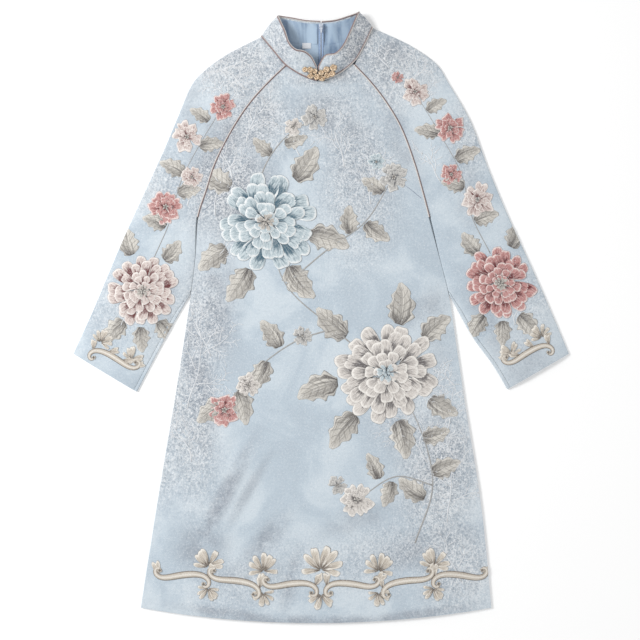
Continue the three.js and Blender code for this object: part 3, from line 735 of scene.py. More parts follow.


# Where silver thread gathers, and where smoky grey gathers, which is partly the cloth's own clouding and
# partly painted shade along folds, at the hem and on the right side: centre, reach across and along, turn in
# degrees, strength.
SILVER_ZONES = [
    (-150, 690, 62, 70, -20, 1.0), (-100, 800, 60, 60, 30, 0.7), (60, 700, 62, 120, 0, 0.75),
    (20, 815, 90, 50, 20, 0.45), (-215, 330, 46, 130, 6, 0.9), (-190, 470, 40, 90, 0, 0.7),
    (190, 240, 60, 120, -6, 1.0), (140, 330, 60, 60, 0, 0.5), (215, 90, 60, 70, 0, 0.8),
    (110, 120, 110, 40, 15, 0.5), (20, 90, 120, 36, -10, 0.35), (-120, 60, 90, 40, 10, 0.35),
    (-150, 880, 70, 40, -35, 0.9), (-255, 700, 50, 60, 0, 0.6), (150, 890, 70, 44, 35, 0.7),
    (240, 780, 40, 60, 0, 0.6), (-330, 500, 50, 60, 0, 0.4), (330, 520, 50, 60, 0, 0.4),
    (-62, 930, 46, 60, 20, 0.75),
    (54, 930, 40, 66, -25, 1.0), (-110, 890, 60, 60, 0, 0.9), (110, 880, 60, 60, 0, 0.8),
    (-250, 260, 40, 70, 0, 0.6), (-30, 868, 50, 16, 0, 0.5), (30, 872, 50, 16, 0, 0.7),
]
# Smoky zones: the cloth's grey clouding, and painted shade along the folds, at the rolled-under hem, on the
# right cuff and on the right waist.
SMOKE_AND_SHADE_ZONES = [
    (20, 800, 60, 34, -30, 0.75), (60, 745, 34, 60, 15, 0.5), (-165, 750, 34, 90, -25, 0.95),
    (-140, 690, 60, 80, -10, 0.85), (-110, 800, 40, 60, -20, 0.8), (-170, 520, 36, 90, 4, 0.75),
    (-196, 400, 22, 110, 8, 0.8),
    (160, 500, 50, 26, 25, 0.5), (180, 270, 60, 60, 0, 0.5), (-158, 195, 13, 92, -27, 0.95),
    (-116, 210, 9, 60, -30, 0.5), (-96, 120, 18, 64, -38, 0.7), (-48, 66, 12, 46, -14, 0.6),
    (60, 170, 60, 20, 25, 0.5),
    (160, 120, 80, 24, 20, 0.6),
    (-190, 120, 40, 40, 30, 0.6), (-130, 905, 60, 26, -30, 0.5), (110, 905, 40, 40, 30, 0.7),
    (128, 770, 20, 70, 20, 0.5), (-214, 830, 24, 50, -20, 0.4), (235, 690, 26, 60, 10, 0.4),
    (-255, 500, 20, 70, -25, 0.5), (262, 480, 20, 70, 25, 0.5), (56, 930, 30, 60, -25, 0.9),
    (-70, 920, 20, 40, 20, 0.5), (20, 876, 50, 14, 10, 0.7), (-110, 80, 60, 20, 0, 0.4),
    (0, 3, 150, 8, 0, 0.75), (-140, 14, 100, 8, -8, 0.65), (140, 12, 100, 8, 8, 0.75),
    (326, 424, 50, 60, 20, 0.45), (182, 430, 34, 70, 0, 0.3),
]


def zone_strength(zones, points):
    """The strongest zone at each point."""
    x, y = points[:, 0], points[:, 1]
    total = np.zeros(len(x))
    for cx, cy, across, along, turn, strength in zones:
        a = math.radians(turn)
        dx, dy = x - cx, y - cy
        p, q = dx * math.cos(a) + dy * math.sin(a), dy * math.cos(a) - dx * math.sin(a)
        total = np.maximum(total, strength * np.exp(-((p / across) ** 2 + (q / along) ** 2) ** 1.4))
    return total


def panel(name, grid, rounding=0.5):
    """A piece of brocade, which knows where its silver thread gathers and where its smoky grey, partly
    painted shade, gathers.
    """
    return shell(name, grid, SHELL, BROCADE, rounding, dict(
        silver=lambda points: zone_strength(SILVER_ZONES, points),
        smoke_and_shade=lambda points: zone_strength(SMOKE_AND_SHADE_ZONES, points)))


front_cloth = panel("front_cloth", front_grid())
back_cloths = {side: panel(f"back_cloth_{side}", back_grid(side)) for side in SLEEVES}
sleeve_cloths = {side: panel(f"sleeve_cloth_{side}", sleeve_grid(side)) for side in SLEEVES}


# ---- woven flowers, leaves, scrolls and sprigs -----------------------------------------------------------
COLOURS = {   # body of the shape, deep colour it springs from (also used as painted shade), rim (also used as a painted highlight along scrolls)
    "teal": (srgb(198, 211, 216), srgb(72, 102, 118), srgb(243, 245, 245)),
    "cream": (srgb(218, 212, 206), srgb(104, 99, 99), srgb(245, 241, 235)),
    "blush": (srgb(220, 207, 201), srgb(104, 52, 52), srgb(245, 240, 235)),
    "rose": (srgb(200, 147, 143), srgb(104, 40, 44), srgb(243, 230, 225)),
    "heart": (srgb(196, 190, 182), srgb(84, 80, 82), srgb(236, 232, 226)),
    "leaf": (srgb(212, 208, 200), srgb(96, 92, 90), srgb(238, 235, 228)),
    "scroll": (srgb(212, 203, 190), srgb(112, 100, 90), srgb(244, 239, 230)),
    "twig": (srgb(172, 172, 170), srgb(120, 120, 124), srgb(206, 206, 206)),
    "silver": (srgb(240, 242, 244), srgb(156, 166, 180), srgb(244, 245, 246)),
    "grey": (srgb(196, 194, 190), srgb(86, 88, 94), srgb(232, 230, 226)),
}
LARGE_PETAL = 22           # a longer petal has a finer mesh
LAYER = 0.42               # how far each ring of petals stands above the one outside it
RISE = 0.3                 # how far the lowest motifs stand above the cloth
RINGS, HEARTS = 5, 9       # rings of petals in a large bloom, and small petals round its heart
NOTCHES = 3.4              # waves along a leaf's edge


class Weave:
    """Collects a panel's raised shapes and lays them on its cloth."""

    def __init__(self, cloth):
        self.tree = BVHTree.FromPolygons([v.co for v in cloth.data.vertices],
                                         [list(f.vertices) for f in cloth.data.polygons])
        self.points, self.faces, self.uv, self.count = [], [], [], 0
        self.numbers = {"vary": [], "outline": [], "veins": [], "band": []}
        self.colours = {"light": [], "deep": [], "rim": []}

    def ground(self, plan):
        """Height of the cloth under each plan point, or nan off the panel."""
        high = np.full(len(plan), np.nan)
        down = Vector((0, 0, -1))
        for i, (x, y) in enumerate(plan):
            spot, normal, _, _ = self.tree.ray_cast(Vector((x * MM, (y + SHIFT) * MM, 0.2)), down)
            if spot is not None and normal.z > 0.5:
                high[i] = spot.z / MM
        return high

    def laid(self, plan, home):
        """The points, those off the panel drawn in towards a point on it."""
        high = self.ground(plan)
        off = np.isnan(high)
        if not off.any():
            return plan, high
        if np.isnan(self.ground(home[None])[0]):
            if off.all():
                return None, None
            home = plan[~off].mean(axis=0)
            if np.isnan(self.ground(home[None])[0]):
                return None, None
        lost = plan[off]
        near, far = np.zeros(len(lost)), np.ones(len(lost))
        for _ in range(9):
            half = (near + far) / 2
            on = ~np.isnan(self.ground(home + (lost - home) * half[:, None]))
            near, far = np.where(on, half, near), np.where(on, far, half)
        plan = plan.copy()
        plan[off] = home + (lost - home) * near[:, None]
        high[off] = self.ground(plan[off])
        high[np.isnan(high)] = np.nanmin(high)
        return plan, high

    def add(self, plan, height, uv, tones, home, vary=0.0, outline=0.7, veins=0.0, band=0.0):
        """A closed shape on the cloth from a grid in plan and its height above the cloth."""
        rows, cols = plan.shape[:2]
        turned = np.cross(plan[:, -1] - plan[:, 0], plan[-1].mean(0) - plan[0].mean(0))
        if turned.sum() < 0:
            plan, height, uv = plan[:, ::-1], height[:, ::-1], uv[:, ::-1]
        flat, high = self.laid(plan.reshape(-1, 2), np.asarray(home, float))
        if flat is None:
            return
        top = np.column_stack([flat, high + height.ravel()])
        under = np.column_stack([flat, high - 0.25])
        self.points += [top, under]
        self.faces.append(closed_faces(rows, cols) + self.count)
        self.uv += [uv.reshape(-1, 2)] * 2
        many = 2 * rows * cols
        self.count += many
        for key, value in (("vary", vary), ("outline", outline), ("veins", veins), ("band", band)):
            self.numbers[key].append(np.full(many, value))
        for key, tone in zip(("light", "deep", "rim"), COLOURS[tones]):
            self.colours[key].append(np.tile(tone[:3], (many, 1)))

    def piece(self, name, material=MOTIF):
        """All the shapes as one piece."""
        made = make(name, np.concatenate(self.points), np.concatenate(self.faces).tolist(), material,
                    np.concatenate(self.uv), {k: np.concatenate(v) for k, v in self.numbers.items()},
                    {k: np.concatenate(v) for k, v in self.colours.items()})
        tidy = bmesh.new()
        tidy.from_mesh(made.data)
        bmesh.ops.dissolve_degenerate(tidy, dist=2e-6, edges=tidy.edges)
        tidy.to_mesh(made.data)
        tidy.free()
        return made


def petal(weave, base, angle, length, spread, rise, tones, draw, hidden=0.0, lobes=3, frill=0.07,
          squash=None, cup=0.7, outline=0.75):
    """A fan with a frilled rim, springing from its base."""
    u = np.linspace(-1, 1, 15 if length > LARGE_PETAL else 9)
    v = np.array([0.08, 0.26, 0.44, 0.6, 0.74, 0.85, 0.93, 0.98, 1.0] if length > LARGE_PETAL
                 else [0.1, 0.45, 0.74, 0.9, 1.0])[:, None]
    phase, bend = draw.uniform(0, 6.3), draw.uniform(-0.3, 0.3)
    edge = 0.2 + 0.8 * np.sqrt(1 - np.abs(u) ** 3)
    lobe = np.cos(u * lobes * math.pi + phase)
    edge = edge * (1 + frill * lobe + frill * 0.32 * np.cos(u * lobes * 6.1 + phase * 3))
    around = angle + u * spread + bend * v ** 1.5
    away = length * v * (1 + (edge - 1) * v ** 0.35)
    plan = heading(around) * away[..., None] + base
    if squash is not None:
        plan = squash(plan)
        base = squash(base)
    height = rise + cup * np.sin(math.pi * v ** 1.3) * (1 - u ** 2) * 0.6
    height = height + 0.5 * np.exp(-((v - 0.86) / 0.12) ** 2) * (0.65 + 0.35 * lobe)
    height = height - 0.12 * np.cos(u * 19 + phase) * np.sin(math.pi * v)
    height = height * np.where(v == 1.0, 0.62, 1)
    # shown runs along the visible part of a petal, so its dark root, partly painted shade, starts where the
    # petal above ends.
    shown = np.clip((v - hidden) / (1 - hidden), 0, 1)
    uv = np.stack(np.broadcast_arrays((u + 1) / 2, shown), -1)
    home = base + (plan[-2, len(u) // 2] - base) * 0.35
    weave.add(plan, height, uv, tones, home, draw.random(), outline)


def blossom(weave, centre, radius, tones, seed, squash, turn, count=15, heart="heart", rise=RISE):
    """A many-petalled round bloom: rings of narrow petals from the outside in, round a tight heart."""
    draw = random.Random(seed)
    c, s = math.cos(turn), math.sin(turn)
    lean = np.array([[c, -s * squash], [s, c * squash]])
    centre = np.array(centre, float)

    def foreshortened(plan):
        return centre + plan @ lean.T

    for ring in range(RINGS):
        share = ring / (RINGS - 1)
        tip = radius * (1 - 0.74 * share)
        many = round(count - (count - 7) * share)
        order = list(range(many))
        draw.shuffle(order)
        start = draw.uniform(0, 6.3)
        for place, i in enumerate(order):
            angle = start + 2 * math.pi * (i + draw.uniform(-0.14, 0.14)) / many
            far = tip * draw.uniform(0.92, 1.06)
            length = tip * draw.uniform(0.62, 0.7) + 1.5
            wide = 1.3 * 2 * math.pi * (far - length * 0.3) / many
            spread = math.asin(min(0.9, wide / (1.7 * length)))
            base = heading(angle) * (far - length)
            step = radius * 0.8 / RINGS
            petal(weave, base, angle, length, spread, rise + 0.3 + LAYER * 1.3 * ring + 0.03 * place,
                  tones, draw, max(0.0, 1 - 1.75 * step / length), 1, 0.03, foreshortened,
                  1.2 - 0.5 * share)
    top = rise + 0.3 + LAYER * 1.3 * RINGS
    for i in range(HEARTS):
        angle = 2 * math.pi * (i + draw.uniform(-0.2, 0.2)) / HEARTS
        petal(weave, heading(angle) * radius * 0.03, angle, radius * draw.uniform(0.13, 0.18), 0.5,
              top + 0.03 * i, heart, draw, 0.1, 1, 0.1, foreshortened, 0.5, 0.9)
    for i in range(5):
        angle = 2 * math.pi * i / 5 + 0.4
        petal(weave, np.zeros(2), angle, radius * 0.08, 0.6, top + 0.5 + 0.03 * i, heart, draw, 0.0,
              1, 0.05, foreshortened, 0.4, 0.9)


def small_bloom(weave, centre, radius, tones, seed):
    """Three rings of a few short petals round a heart."""
    draw = random.Random(seed)
    centre = np.array(centre, float)
    for ring, size in enumerate((1.0, 0.66, 0.4)):
        many = 6 - ring // 2
        start = draw.uniform(0, 6.3)
        for i in range(many):
            angle = start + 2 * math.pi * (i + draw.uniform(-0.15, 0.15)) / many
            length = radius * size * draw.uniform(0.78, 0.95)
            petal(weave, centre + heading(angle) * radius * size * 0.12, angle, length,
                  draw.uniform(0.66, 0.84), 0.3 + 0.28 * ring + 0.02 * i, tones, draw, 0.3, 2, 0.1)
    for i in range(5):
        petal(weave, centre, 2 * math.pi * i / 5, radius * 0.17, 0.5, 1.2, "heart", draw, 0.0, 1, 0.0)


def leaf(weave, base, angle, length, width, seed, curve):
    """A veined leaf with a waved edge, bending along its midrib."""
    draw = random.Random(seed)
    length, width = length * 1.12, width * 1.3
    v = np.linspace(0, 1, 22)
    u = np.linspace(-1, 1, 11)
    way = angle + curve * (v - 0.3)
    step = length / (len(v) - 1)
    mid = walk(np.array(base, float), way, step)
    across = left_of(heading(way))
    half = width / 2 * np.sin(math.pi * (0.04 + 0.93 * v) ** 0.8) ** 0.8 + 0.25
    phase = draw.uniform(0, 6.3)
    lobes = np.cos(2 * math.pi * NOTCHES * v[:, None] + phase + np.where(u > 0, 1.8, 0))
    wave = 1 + (0.17 * lobes + 0.05 * np.cos(40 * v[:, None] + phase)) * u ** 2
    lag = -0.1 * length * np.abs(u)[None] ** 2 * np.sin(math.pi * v)[:, None] * 0.6
    plan = mid[:, None] + across[:, None] * (half[:, None] * wave * u)[..., None]
    plan = plan + heading(way)[:, None] * lag[..., None]
    veins = 2 * math.pi * (v[:, None] * 7 - np.abs(u)[None] * 1.6)
    height = 0.22 + 0.75 * np.sin(math.pi * np.abs(u) ** 0.8)[None] * np.sin(math.pi * v)[:, None] ** 0.5
    height = height + 0.16 * np.cos(veins) * (np.abs(u) * (1 - np.abs(u)))[None] * 3
    uv = np.stack(np.broadcast_arrays((u[None] + 1) / 2, 0.12 + 0.8 * v[:, None]), -1)
    weave.add(plan, height, uv, "leaf", mid[9], draw.random(), 0.85, 1.0)


def ribbon(weave, path, half, rise, height, tones, outline=0.8, cols=7, lane=0.0, band=0.0):
    """A convex band along a plan route, half as wide as half says at each of its points."""
    path = np.asarray(path, float)
    u = np.linspace(-1, 1, cols)
    half = np.broadcast_to(half, len(path))
    plan = path[:, None] + sideways(path)[:, None] * (half[:, None] * u)[..., None]
    swell = np.sqrt(half / max(half.max(), 1e-6))[:, None]
    top = rise + height * swell * np.sqrt(1.02 - u ** 2)[None]
    far = lengths(path)[:, None]
    uv = np.stack(np.broadcast_arrays((u[None] + 1) / 2, 0.66 + 0.05 * np.sin(far / 6 + lane)), -1)
    weave.add(plan, top, uv, tones, path[len(path) // 2], lane % 1, outline, band=band)


def scroll(weave, middle, way, length, curls, flow, width, seed, leaves=4):
    """A scroll that winds up at both ends: how far each end curls and how far the middle bends."""
    s = np.linspace(-1, 1, 91)
    back, on = curls
    angle = way + flow * s + np.where(s > 0, on * np.abs(s) ** 3.4, -back * np.abs(s) ** 3.4) * 1.35
    step = (1 - 0.42 * np.abs(s) ** 2.6)
    step *= length / step.sum()
    path = walk(np.zeros(2), angle, step)
    path += np.array(middle, float) - path[len(s) // 2]
    half = width / 2 * (0.3 + 0.7 * (1 - np.abs(s) ** 1.8))
    # The last argument makes the motif material paint shade along the scroll's edges and a highlight down
    # its middle.
    ribbon(weave, path, half, RISE, 1.5, "scroll", 1.0, 9, seed * 0.37, 1.0)
    draw = random.Random(seed)
    for end in (path[0], path[-1]):
        for i in range(6):
            petal(weave, end, i * math.pi / 3, width * 0.34, 0.55, RISE + 1.0,
                  "scroll", draw, 0.4, 1, 0.0, outline=1.0)
    for i in range(leaves):
        k = int(20 + (50 / max(leaves - 1, 1)) * i)
        side = 1 if flow + on + back < 0 else -1
        turn = angle[k] + side * (1.0 - 0.55 * i / max(leaves, 1))
        left = left_of(heading(angle[k]))
        petal(weave, path[k] + left * side * half[k] * 0.2, turn, width * draw.uniform(1.5, 2.3), 0.46,
              RISE + 0.5, "scroll", draw, 0.15, 2, 0.1)


def palmette(weave, centre, way, radius, seed):
    """A fan of slim petals, the outer ones under the inner ones."""
    draw = random.Random(seed)
    fingers, reach = 7, 1.5
    order = sorted(range(fingers), key=lambda i: -abs(i - (fingers - 1) / 2))
    for place, i in enumerate(order):
        off = (i - (fingers - 1) / 2) / ((fingers - 1) / 2)
        petal(weave, np.array(centre, float), way + off * reach, radius * (1 - 0.22 * off * off), 0.26,
              RISE + 0.16 * place, "scroll", draw, 0.15, 1, 0.03, cup=1.1)


def sprig(weave, base, way, length, depth, draw, width=1.8, bend=0.5):
    """Fine branching lines, each wavier and thinner than the one it leaves."""
    v = np.linspace(0, 1, 4 + 2 * depth)
    swing = draw.uniform(-bend, bend)
    angle = way + swing * v + 0.18 * np.sin(v * 7 + draw.uniform(0, 6))
    path = walk(base, angle, length / (len(v) - 1))
    ribbon(weave, path, width / 2 * (1.1 - 0.5 * v), 0.12, 0.5, "silver", 0.0, 3, draw.random())
    if depth:
        twigs = draw.choice([4, 4, 5])
        for i in range(twigs):
            k = 1 + int((len(v) - 2) * (i + 1) / twigs)
            side = 1 if i % 2 else -1
            turned = angle[k] + side * draw.uniform(0.45, 0.95)
            sprig(weave, path[k], turned, length * draw.uniform(0.34, 0.52), depth - 1, draw,
                  width * 0.82, bend + 0.1)


def twig(weave, points, width=1.3):
    """A thin stem."""
    path = spline(points, 10)
    share = np.linspace(0, 1, len(path))
    ribbon(weave, path, width / 2 * (1.15 - 0.5 * share), 0.15, 0.5, "twig", 0.4, 5, 0.3)


def hem_line(x, over=0.0):
    """Height of the front hem at x, and so much above it."""
    return BODY[0]["sag"] * (x / 280) ** 2 + over


def front_flowers():
    """A border of scrolls along the hem, and a flowering branch that winds up from it."""
    w = Weave(front_cloth)
    for side in (1, -1):
        for i, x in enumerate(BORDER_SCROLLS):
            way = 0.12 if i % 2 else -0.12
            scroll(w, (side * x, hem_line(x, 62)), way if side > 0 else math.pi - way, 128,
                   (-3.8 * side, 4.0 * side), -0.45 * side, 11, seed=13 + i + side, leaves=2)
        for x in BORDER_PALMETTES:
            palmette(w, (side * x, hem_line(x, 80)), math.pi / 2 - 0.08 * side, 30, 42 + int(x))
            palmette(w, (side * x, hem_line(x, 46)), -math.pi / 2, 22, 52 + int(x))
    palmette(w, (0, hem_line(0, 84)), math.pi / 2, 40, 42)
    palmette(w, (0, hem_line(0, 46)), -math.pi / 2, 26, 43)
    border = w.piece("front_scrolls")
    w = Weave(front_cloth)
    for base, angle, length, width, curve in LEAVES["front"]:
        leaf(w, base, angle, length, width, int(base[0] * 7 + base[1]) & 1023, curve)
    for points in TWIGS["front"]:
        twig(w, points, width=2.4)
    blossom(w, (104, 400), 84, "cream", 5, 0.94, 0.5, heart="teal", count=16)
    blossom(w, (-88, 640), 80, "teal", 9, 0.94, -0.4, rise=0.5, count=16)
    for centre, radius, tones in BLOOMS["front"]:
        small_bloom(w, centre, radius, tones, int(centre[0] + centre[1] * 3) & 1023)
    return [border, w.piece("front_flowers")]


def front_silver():
    """Fine silver lines in the front's ground."""
    w = Weave(front_cloth)
    draw = random.Random(7)
    for base, way, length, depth in SPRIGS["front"]:
        sprig(w, np.array(base, float), way, length, depth, draw)
    return w.piece("front_silver_sprigs")


def sleeve_flowers(side):
    """A twig of small blooms, a large bloom and the cuff border."""
    w = Weave(sleeve_cloths[side])
    s = SIGN[side]
    draw = random.Random(17 + s)
    for base, way, length, depth in SPRIGS[side]:
        sprig(w, np.array(base, float), way, length, depth, draw)
    for base, angle, length, width, curve in LEAVES[side]:
        leaf(w, base, angle, length, width, int(base[0] * 7 + base[1]) & 1023, curve)
    for points in TWIGS[side]:
        twig(w, points)
    for (x, y), way, length, (back, on), flow, width in SCROLLS:
        way = way if s < 0 else math.pi - way
        scroll(w, (-s * x, y + 4 * s), way, length, (-s * back, -s * on), -s * flow, width, seed=int(-x))
    for (x, y), way, radius in PALMETTES:
        palmette(w, (-s * x, y + 4 * s), way if s < 0 else math.pi - way, radius, int(-x))
    for centre, radius, tones, squash, turn in BLOSSOMS[side]:
        blossom(w, centre, radius, tones, int(abs(centre[0])) + 3, squash, turn)
    for centre, radius, tones in BLOOMS[side]:
        small_bloom(w, centre, radius, tones, int(abs(centre[0]) + centre[1] * 3) & 1023)
    return w.piece(f"sleeve_flowers_{side}")


SPRIGS = {
    "front": [((-168, 640), 1.5, 90, 3), ((-140, 700), 1.9, 70, 3), ((-120, 760), 1.3, 60, 3),
              ((-176, 560), 1.2, 60, 2), ((-214, 330), 1.4, 110, 3), ((-206, 250), 1.8, 70, 3),
              ((-170, 420), 2.2, 60, 2), ((204, 150), 1.7, 100, 3), ((176, 250), 2.3, 80, 3),
              ((196, 300), 1.2, 70, 3), ((150, 360), 0.6, 50, 2), ((40, 720), 1.9, 60, 2),
              ((80, 660), 1.6, 60, 2), ((-30, 740), 2.0, 50, 2), ((230, 60), 2.2, 60, 2)],
    "left": [((-150, 800), 1.6, 60, 3), ((-118, 850), 2.2, 50, 3), ((-160, 880), 0.6, 45, 2),
             ((-214, 660), 1.3, 40, 2), ((-320, 470), 1.2, 40, 2)],
    "right": [((140, 820), 1.5, 60, 3), ((112, 880), 2.3, 40, 2), ((196, 700), 2.2, 50, 2),
              ((310, 470), 1.9, 40, 2)],
}
LEAVES = {   # where it springs from, direction, length, width, bend
    "front": [
        ((-148, 598), 3.7, 50, 28, 0.4), ((-142, 694), 2.6, 50, 28, -0.4), ((-44, 706), 0.9, 56, 30, 0.4),
        ((-22, 620), -0.2, 60, 30, -0.5), ((-52, 572), -1.0, 58, 30, 0.5), ((-114, 568), -2.1, 56, 30, -0.4),
        ((164, 452), 0.8, 48, 28, -0.5), ((172, 360), -0.6, 46, 26, 0.4), ((122, 474), 1.4, 60, 32, 0.5),
        ((44, 458), 2.5, 58, 30, -0.5), ((30, 384), 3.4, 62, 32, 0.5), ((58, 334), -2.3, 60, 30, 0.4),
        ((122, 326), -1.3, 56, 30, -0.4), ((160, 296), 0.2, 40, 22, 0.4), ((176, 236), 0.5, 44, 24, -0.4),
        ((168, 200), 2.6, 46, 24, -0.4), ((92, 228), 1.9, 40, 20, 0.4), ((112, 228), -1.8, 38, 20, -0.4),
        ((-66, 438), 2.1, 46, 24, 0.4), ((-86, 420), -2.0, 46, 24, -0.4), ((-150, 350), 3.6, 48, 26, 0.5),
        ((-136, 372), -1.2, 50, 26, -0.5), ((-60, 766), 0.2, 34, 17, 0.4), ((-78, 748), 2.5, 34, 17, -0.4),
        ((70, 640), -0.7, 42, 22, 0.4), ((48, 620), 1.7, 40, 22, -0.4), ((100, 686), 2.5, 36, 19, 0.4)],
    "left": [
        ((-252, 578), 0.8, 36, 22, 0.4), ((-300, 586), 1.9, 42, 24, -0.4), ((-262, 482), -0.9, 38, 22, -0.4),
        ((-312, 482), -2.4, 40, 24, 0.4), ((-286, 474), -1.6, 36, 20, 0.3), ((-246, 632), 2.7, 36, 20, 0.4),
        ((-230, 684), 0.3, 34, 19, -0.4), ((-218, 716), 2.6, 38, 20, 0.4), ((-196, 760), 0.2, 36, 18, -0.4),
        ((-178, 800), 2.5, 32, 16, 0.4)],
    "right": [
        ((252, 590), 2.3, 36, 22, -0.4), ((302, 598), 1.2, 42, 24, 0.4), ((262, 492), -2.2, 38, 22, 0.4),
        ((314, 492), -0.8, 40, 24, -0.4), ((288, 484), -1.5, 36, 20, -0.3), ((244, 640), 0.4, 36, 20, -0.4),
        ((230, 694), 2.8, 34, 19, 0.4), ((214, 738), 0.5, 38, 20, -0.4), ((190, 780), 2.9, 36, 18, 0.4),
        ((168, 816), 0.6, 32, 16, -0.4)],
}
TWIGS = {
    "front": [[(150, 128), (178, 220), (154, 320), (104, 400)],
              [(104, 400), (20, 470), (-56, 540), (-88, 640)],
              [(-88, 640), (-96, 710), (-62, 770), (-12, 806)],
              [(20, 470), (-40, 450), (-104, 404), (-150, 350)],
              [(-56, 540), (10, 596), (70, 640), (112, 706)], [(178, 220), (120, 234), (62, 200)]],
    "left": [[(-268, 580), (-242, 640), (-224, 704), (-196, 760), (-158, 822)]],
    "right": [[(270, 590), (240, 650), (224, 716), (190, 780), (150, 846)]],
}
BLOOMS = {
    "front": [((-10, 808), 21, "grey"), ((-44, 792), 15, "cream"), ((116, 712), 23, "grey"),
              ((88, 736), 14, "teal"), ((-154, 340), 27, "rose"), ((-116, 380), 20, "cream"),
              ((56, 196), 27, "cream"), ((26, 220), 16, "grey"), ((-30, 458), 16, "grey")],
    "left": [((-248, 664), 27, "rose"), ((-206, 712), 18, "blush"), ((-214, 776), 25, "blush"),
             ((-156, 824), 21, "rose")],
    "right": [((250, 676), 27, "blush"), ((208, 716), 18, "rose"), ((206, 790), 25, "rose"),
              ((150, 848), 22, "blush"), ((122, 870), 10, "rose")],
}
BLOSSOMS = {   # centre, radius, colour, foreshortening, turn
    "left": [((-284, 530), 58, "blush", 0.94, 1.0)],
    "right": [((286, 542), 60, "rose", 0.94, -0.9)],
}
BORDER_SCROLLS, BORDER_PALMETTES = (48, 136, 220), (92, 180)
# The left cuff's; the right one's are their mirror. Middle, direction, length, curls, bend, width.
SCROLLS = [((-330, 428), -0.54, 118, (-3.8, 4.0), -0.45, 10)]
PALMETTES = [((-352, 452), 1.03, 22), ((-304, 424), 1.03, 22)]

front_motifs = [front_silver(), *front_flowers()]
sleeve_motifs = {side: [sleeve_flowers(side)] for side in SLEEVES}


def seam_line(name, cloth, routes, half=0.45):
    """A sewn line: a fine dark groove's edge standing just proud of the cloth."""
    w = Weave(cloth)
    for route in routes:
        path = evenly(spline(route, 12), 3)
        ribbon(w, path, half * (1.1 - 0.5 * np.linspace(0, 1, len(path))), -0.08, 0.3, "twig", 0.2, 5)
    return w.piece(name, SEAM_SHADE)


dart_seams = [seam_line("bust_darts", front_cloth, DARTS)]


# ---- collar, linings and piping --------------------------------------------------------------------------
def collar_lines(side):
    """The neck seam and the upper edge of the collar."""
    base = spline([b for b, _ in COLLARS[side]], 12)
    top = spline([t for _, t in COLLARS[side]], 12)
    return base, top



def band_grid(side, start=1.0, columns=14):
    """The collar band between its two piped edges, bowing outwards a little."""
    base, top = collar_lines(side)
    up = top - base
    height = np.linalg.norm(up, axis=1)[:, None, None]
    share = np.linspace(0, 1, columns)[None, :, None]
    share = start / height + (1 - 2 * start / height) * share
    grid = base[:, None] + up[:, None] * share
    bow = np.sin(np.linspace(0, math.pi, columns))[None, :, None]
    return grid + normals_of(grid) * SIGN[side] * 1.6 * bow


def collar_band(side):
    """The stand collar, rippled a little along its length."""
    grid = band_grid(side)
    ripple = np.sin(np.linspace(0, 31, grid.shape[0]))[:, None, None] * 0.18
    return panel(f"collar_band_{side}", grid + normals_of(grid) * ripple, rounding=0.4)


def inner_lining(side):
    """Satin inside the collar band, up to the zip."""
    grid = band_grid(side, start=3.4)
    inward = -SIGN[side] * (SHELL / 2 + 0.5 + SATIN / 2)
    far = np.linspace(0, 1, grid.shape[0])
    wrinkle = (np.sin(41 * far + 3 * np.sin(9 * far)) * 0.6)[:, None, None]
    grid = grid + normals_of(grid) * (inward + wrinkle)
    first = np.argmax(np.abs(grid[:, 0, 0]) > ZIP_HALF + SEAM)
    grid = grid[first:-4]
    return shell(f"collar_satin_{side}", grid, SATIN, SATIN_BLUE, 0.3)


def neck_satin(side):
    """Lining of the back neck, with the soft pleats of cloth that is eased into the seam."""
    sign = SIGN[side]
    s, r = np.meshgrid(np.linspace(0, 1, 40), np.linspace(0, 1, 36))
    x = sign * (ZIP_HALF + SEAM + (52 - ZIP_HALF - SEAM) * s)
    seam = BACK_NECK + (2.4 + (BACK_NECK_RISE if side == "right" else 6)) * (x / 60) ** 2 + 3.4
    y = 872 + (seam - 872) * r
    pleat = 0.6 * np.sin(x / 4.2 + 0.8 * np.sin(y / 9)) * smooth(0, 0.9, r)
    over_seam = 7.0 - 1.9 * (x / 60) ** 2
    low = CLOTH + 1.5 + SATIN / 2 + back_lift(x, y) + pleat
    grid = np.stack([x, y, low + (over_seam - low) * smooth(seam - 13, seam - 4, y)], -1)
    return shell(f"neck_satin_{side}", facing_up(grid, side), SATIN, SATIN_BLUE, 0.3)


def tube(name, points, radius, material):
    """A closed round cord; its UV runs once round it, from the side that faces down, and along it in mm."""
    sides = 12
    route = evenly(np.array(points, float), 1.6)
    along = np.gradient(route, axis=0)
    along /= np.linalg.norm(along, axis=1, keepdims=True)
    side = np.cross(along, (0, 0, 1))
    side /= np.maximum(np.linalg.norm(side, axis=1, keepdims=True), 1e-9)
    over = np.cross(side, along)
    far = lengths(route)
    angles = np.linspace(0, 2 * math.pi, sides, endpoint=False) - math.pi / 2
    rings = [route + (side * math.cos(a) + over * math.sin(a)) * radius for a in angles]
    points = np.stack(rings, 1).reshape(-1, 3)
    uv = np.stack(np.broadcast_arrays((np.arange(sides) / sides)[None], far[:, None]), -1).reshape(-1, 2)
    count = len(route)
    i, j = np.meshgrid(np.arange(count - 1), np.arange(sides), indexing="ij")
    a, b = i * sides + j, i * sides + (j + 1) % sides
    faces = np.stack([a, b, b + sides, a + sides], -1).reshape(-1, 4).tolist()
    faces += [list(range(sides))[::-1], list(range((count - 1) * sides, count * sides))]
    return make(name, points, faces, material, uv)


def merged(name, pieces):
    """One piece from several of the same kind."""
    with bpy.context.temp_override(active_object=pieces[0], selected_editable_objects=pieces,
                                   selected_objects=pieces):
        bpy.ops.object.join()
    pieces[0].name = name
    return pieces[0]


def seam_height(t):
    """Height at which the front joins the sleeves."""
    return CLOTH * 1.5 + front["edge"](t)


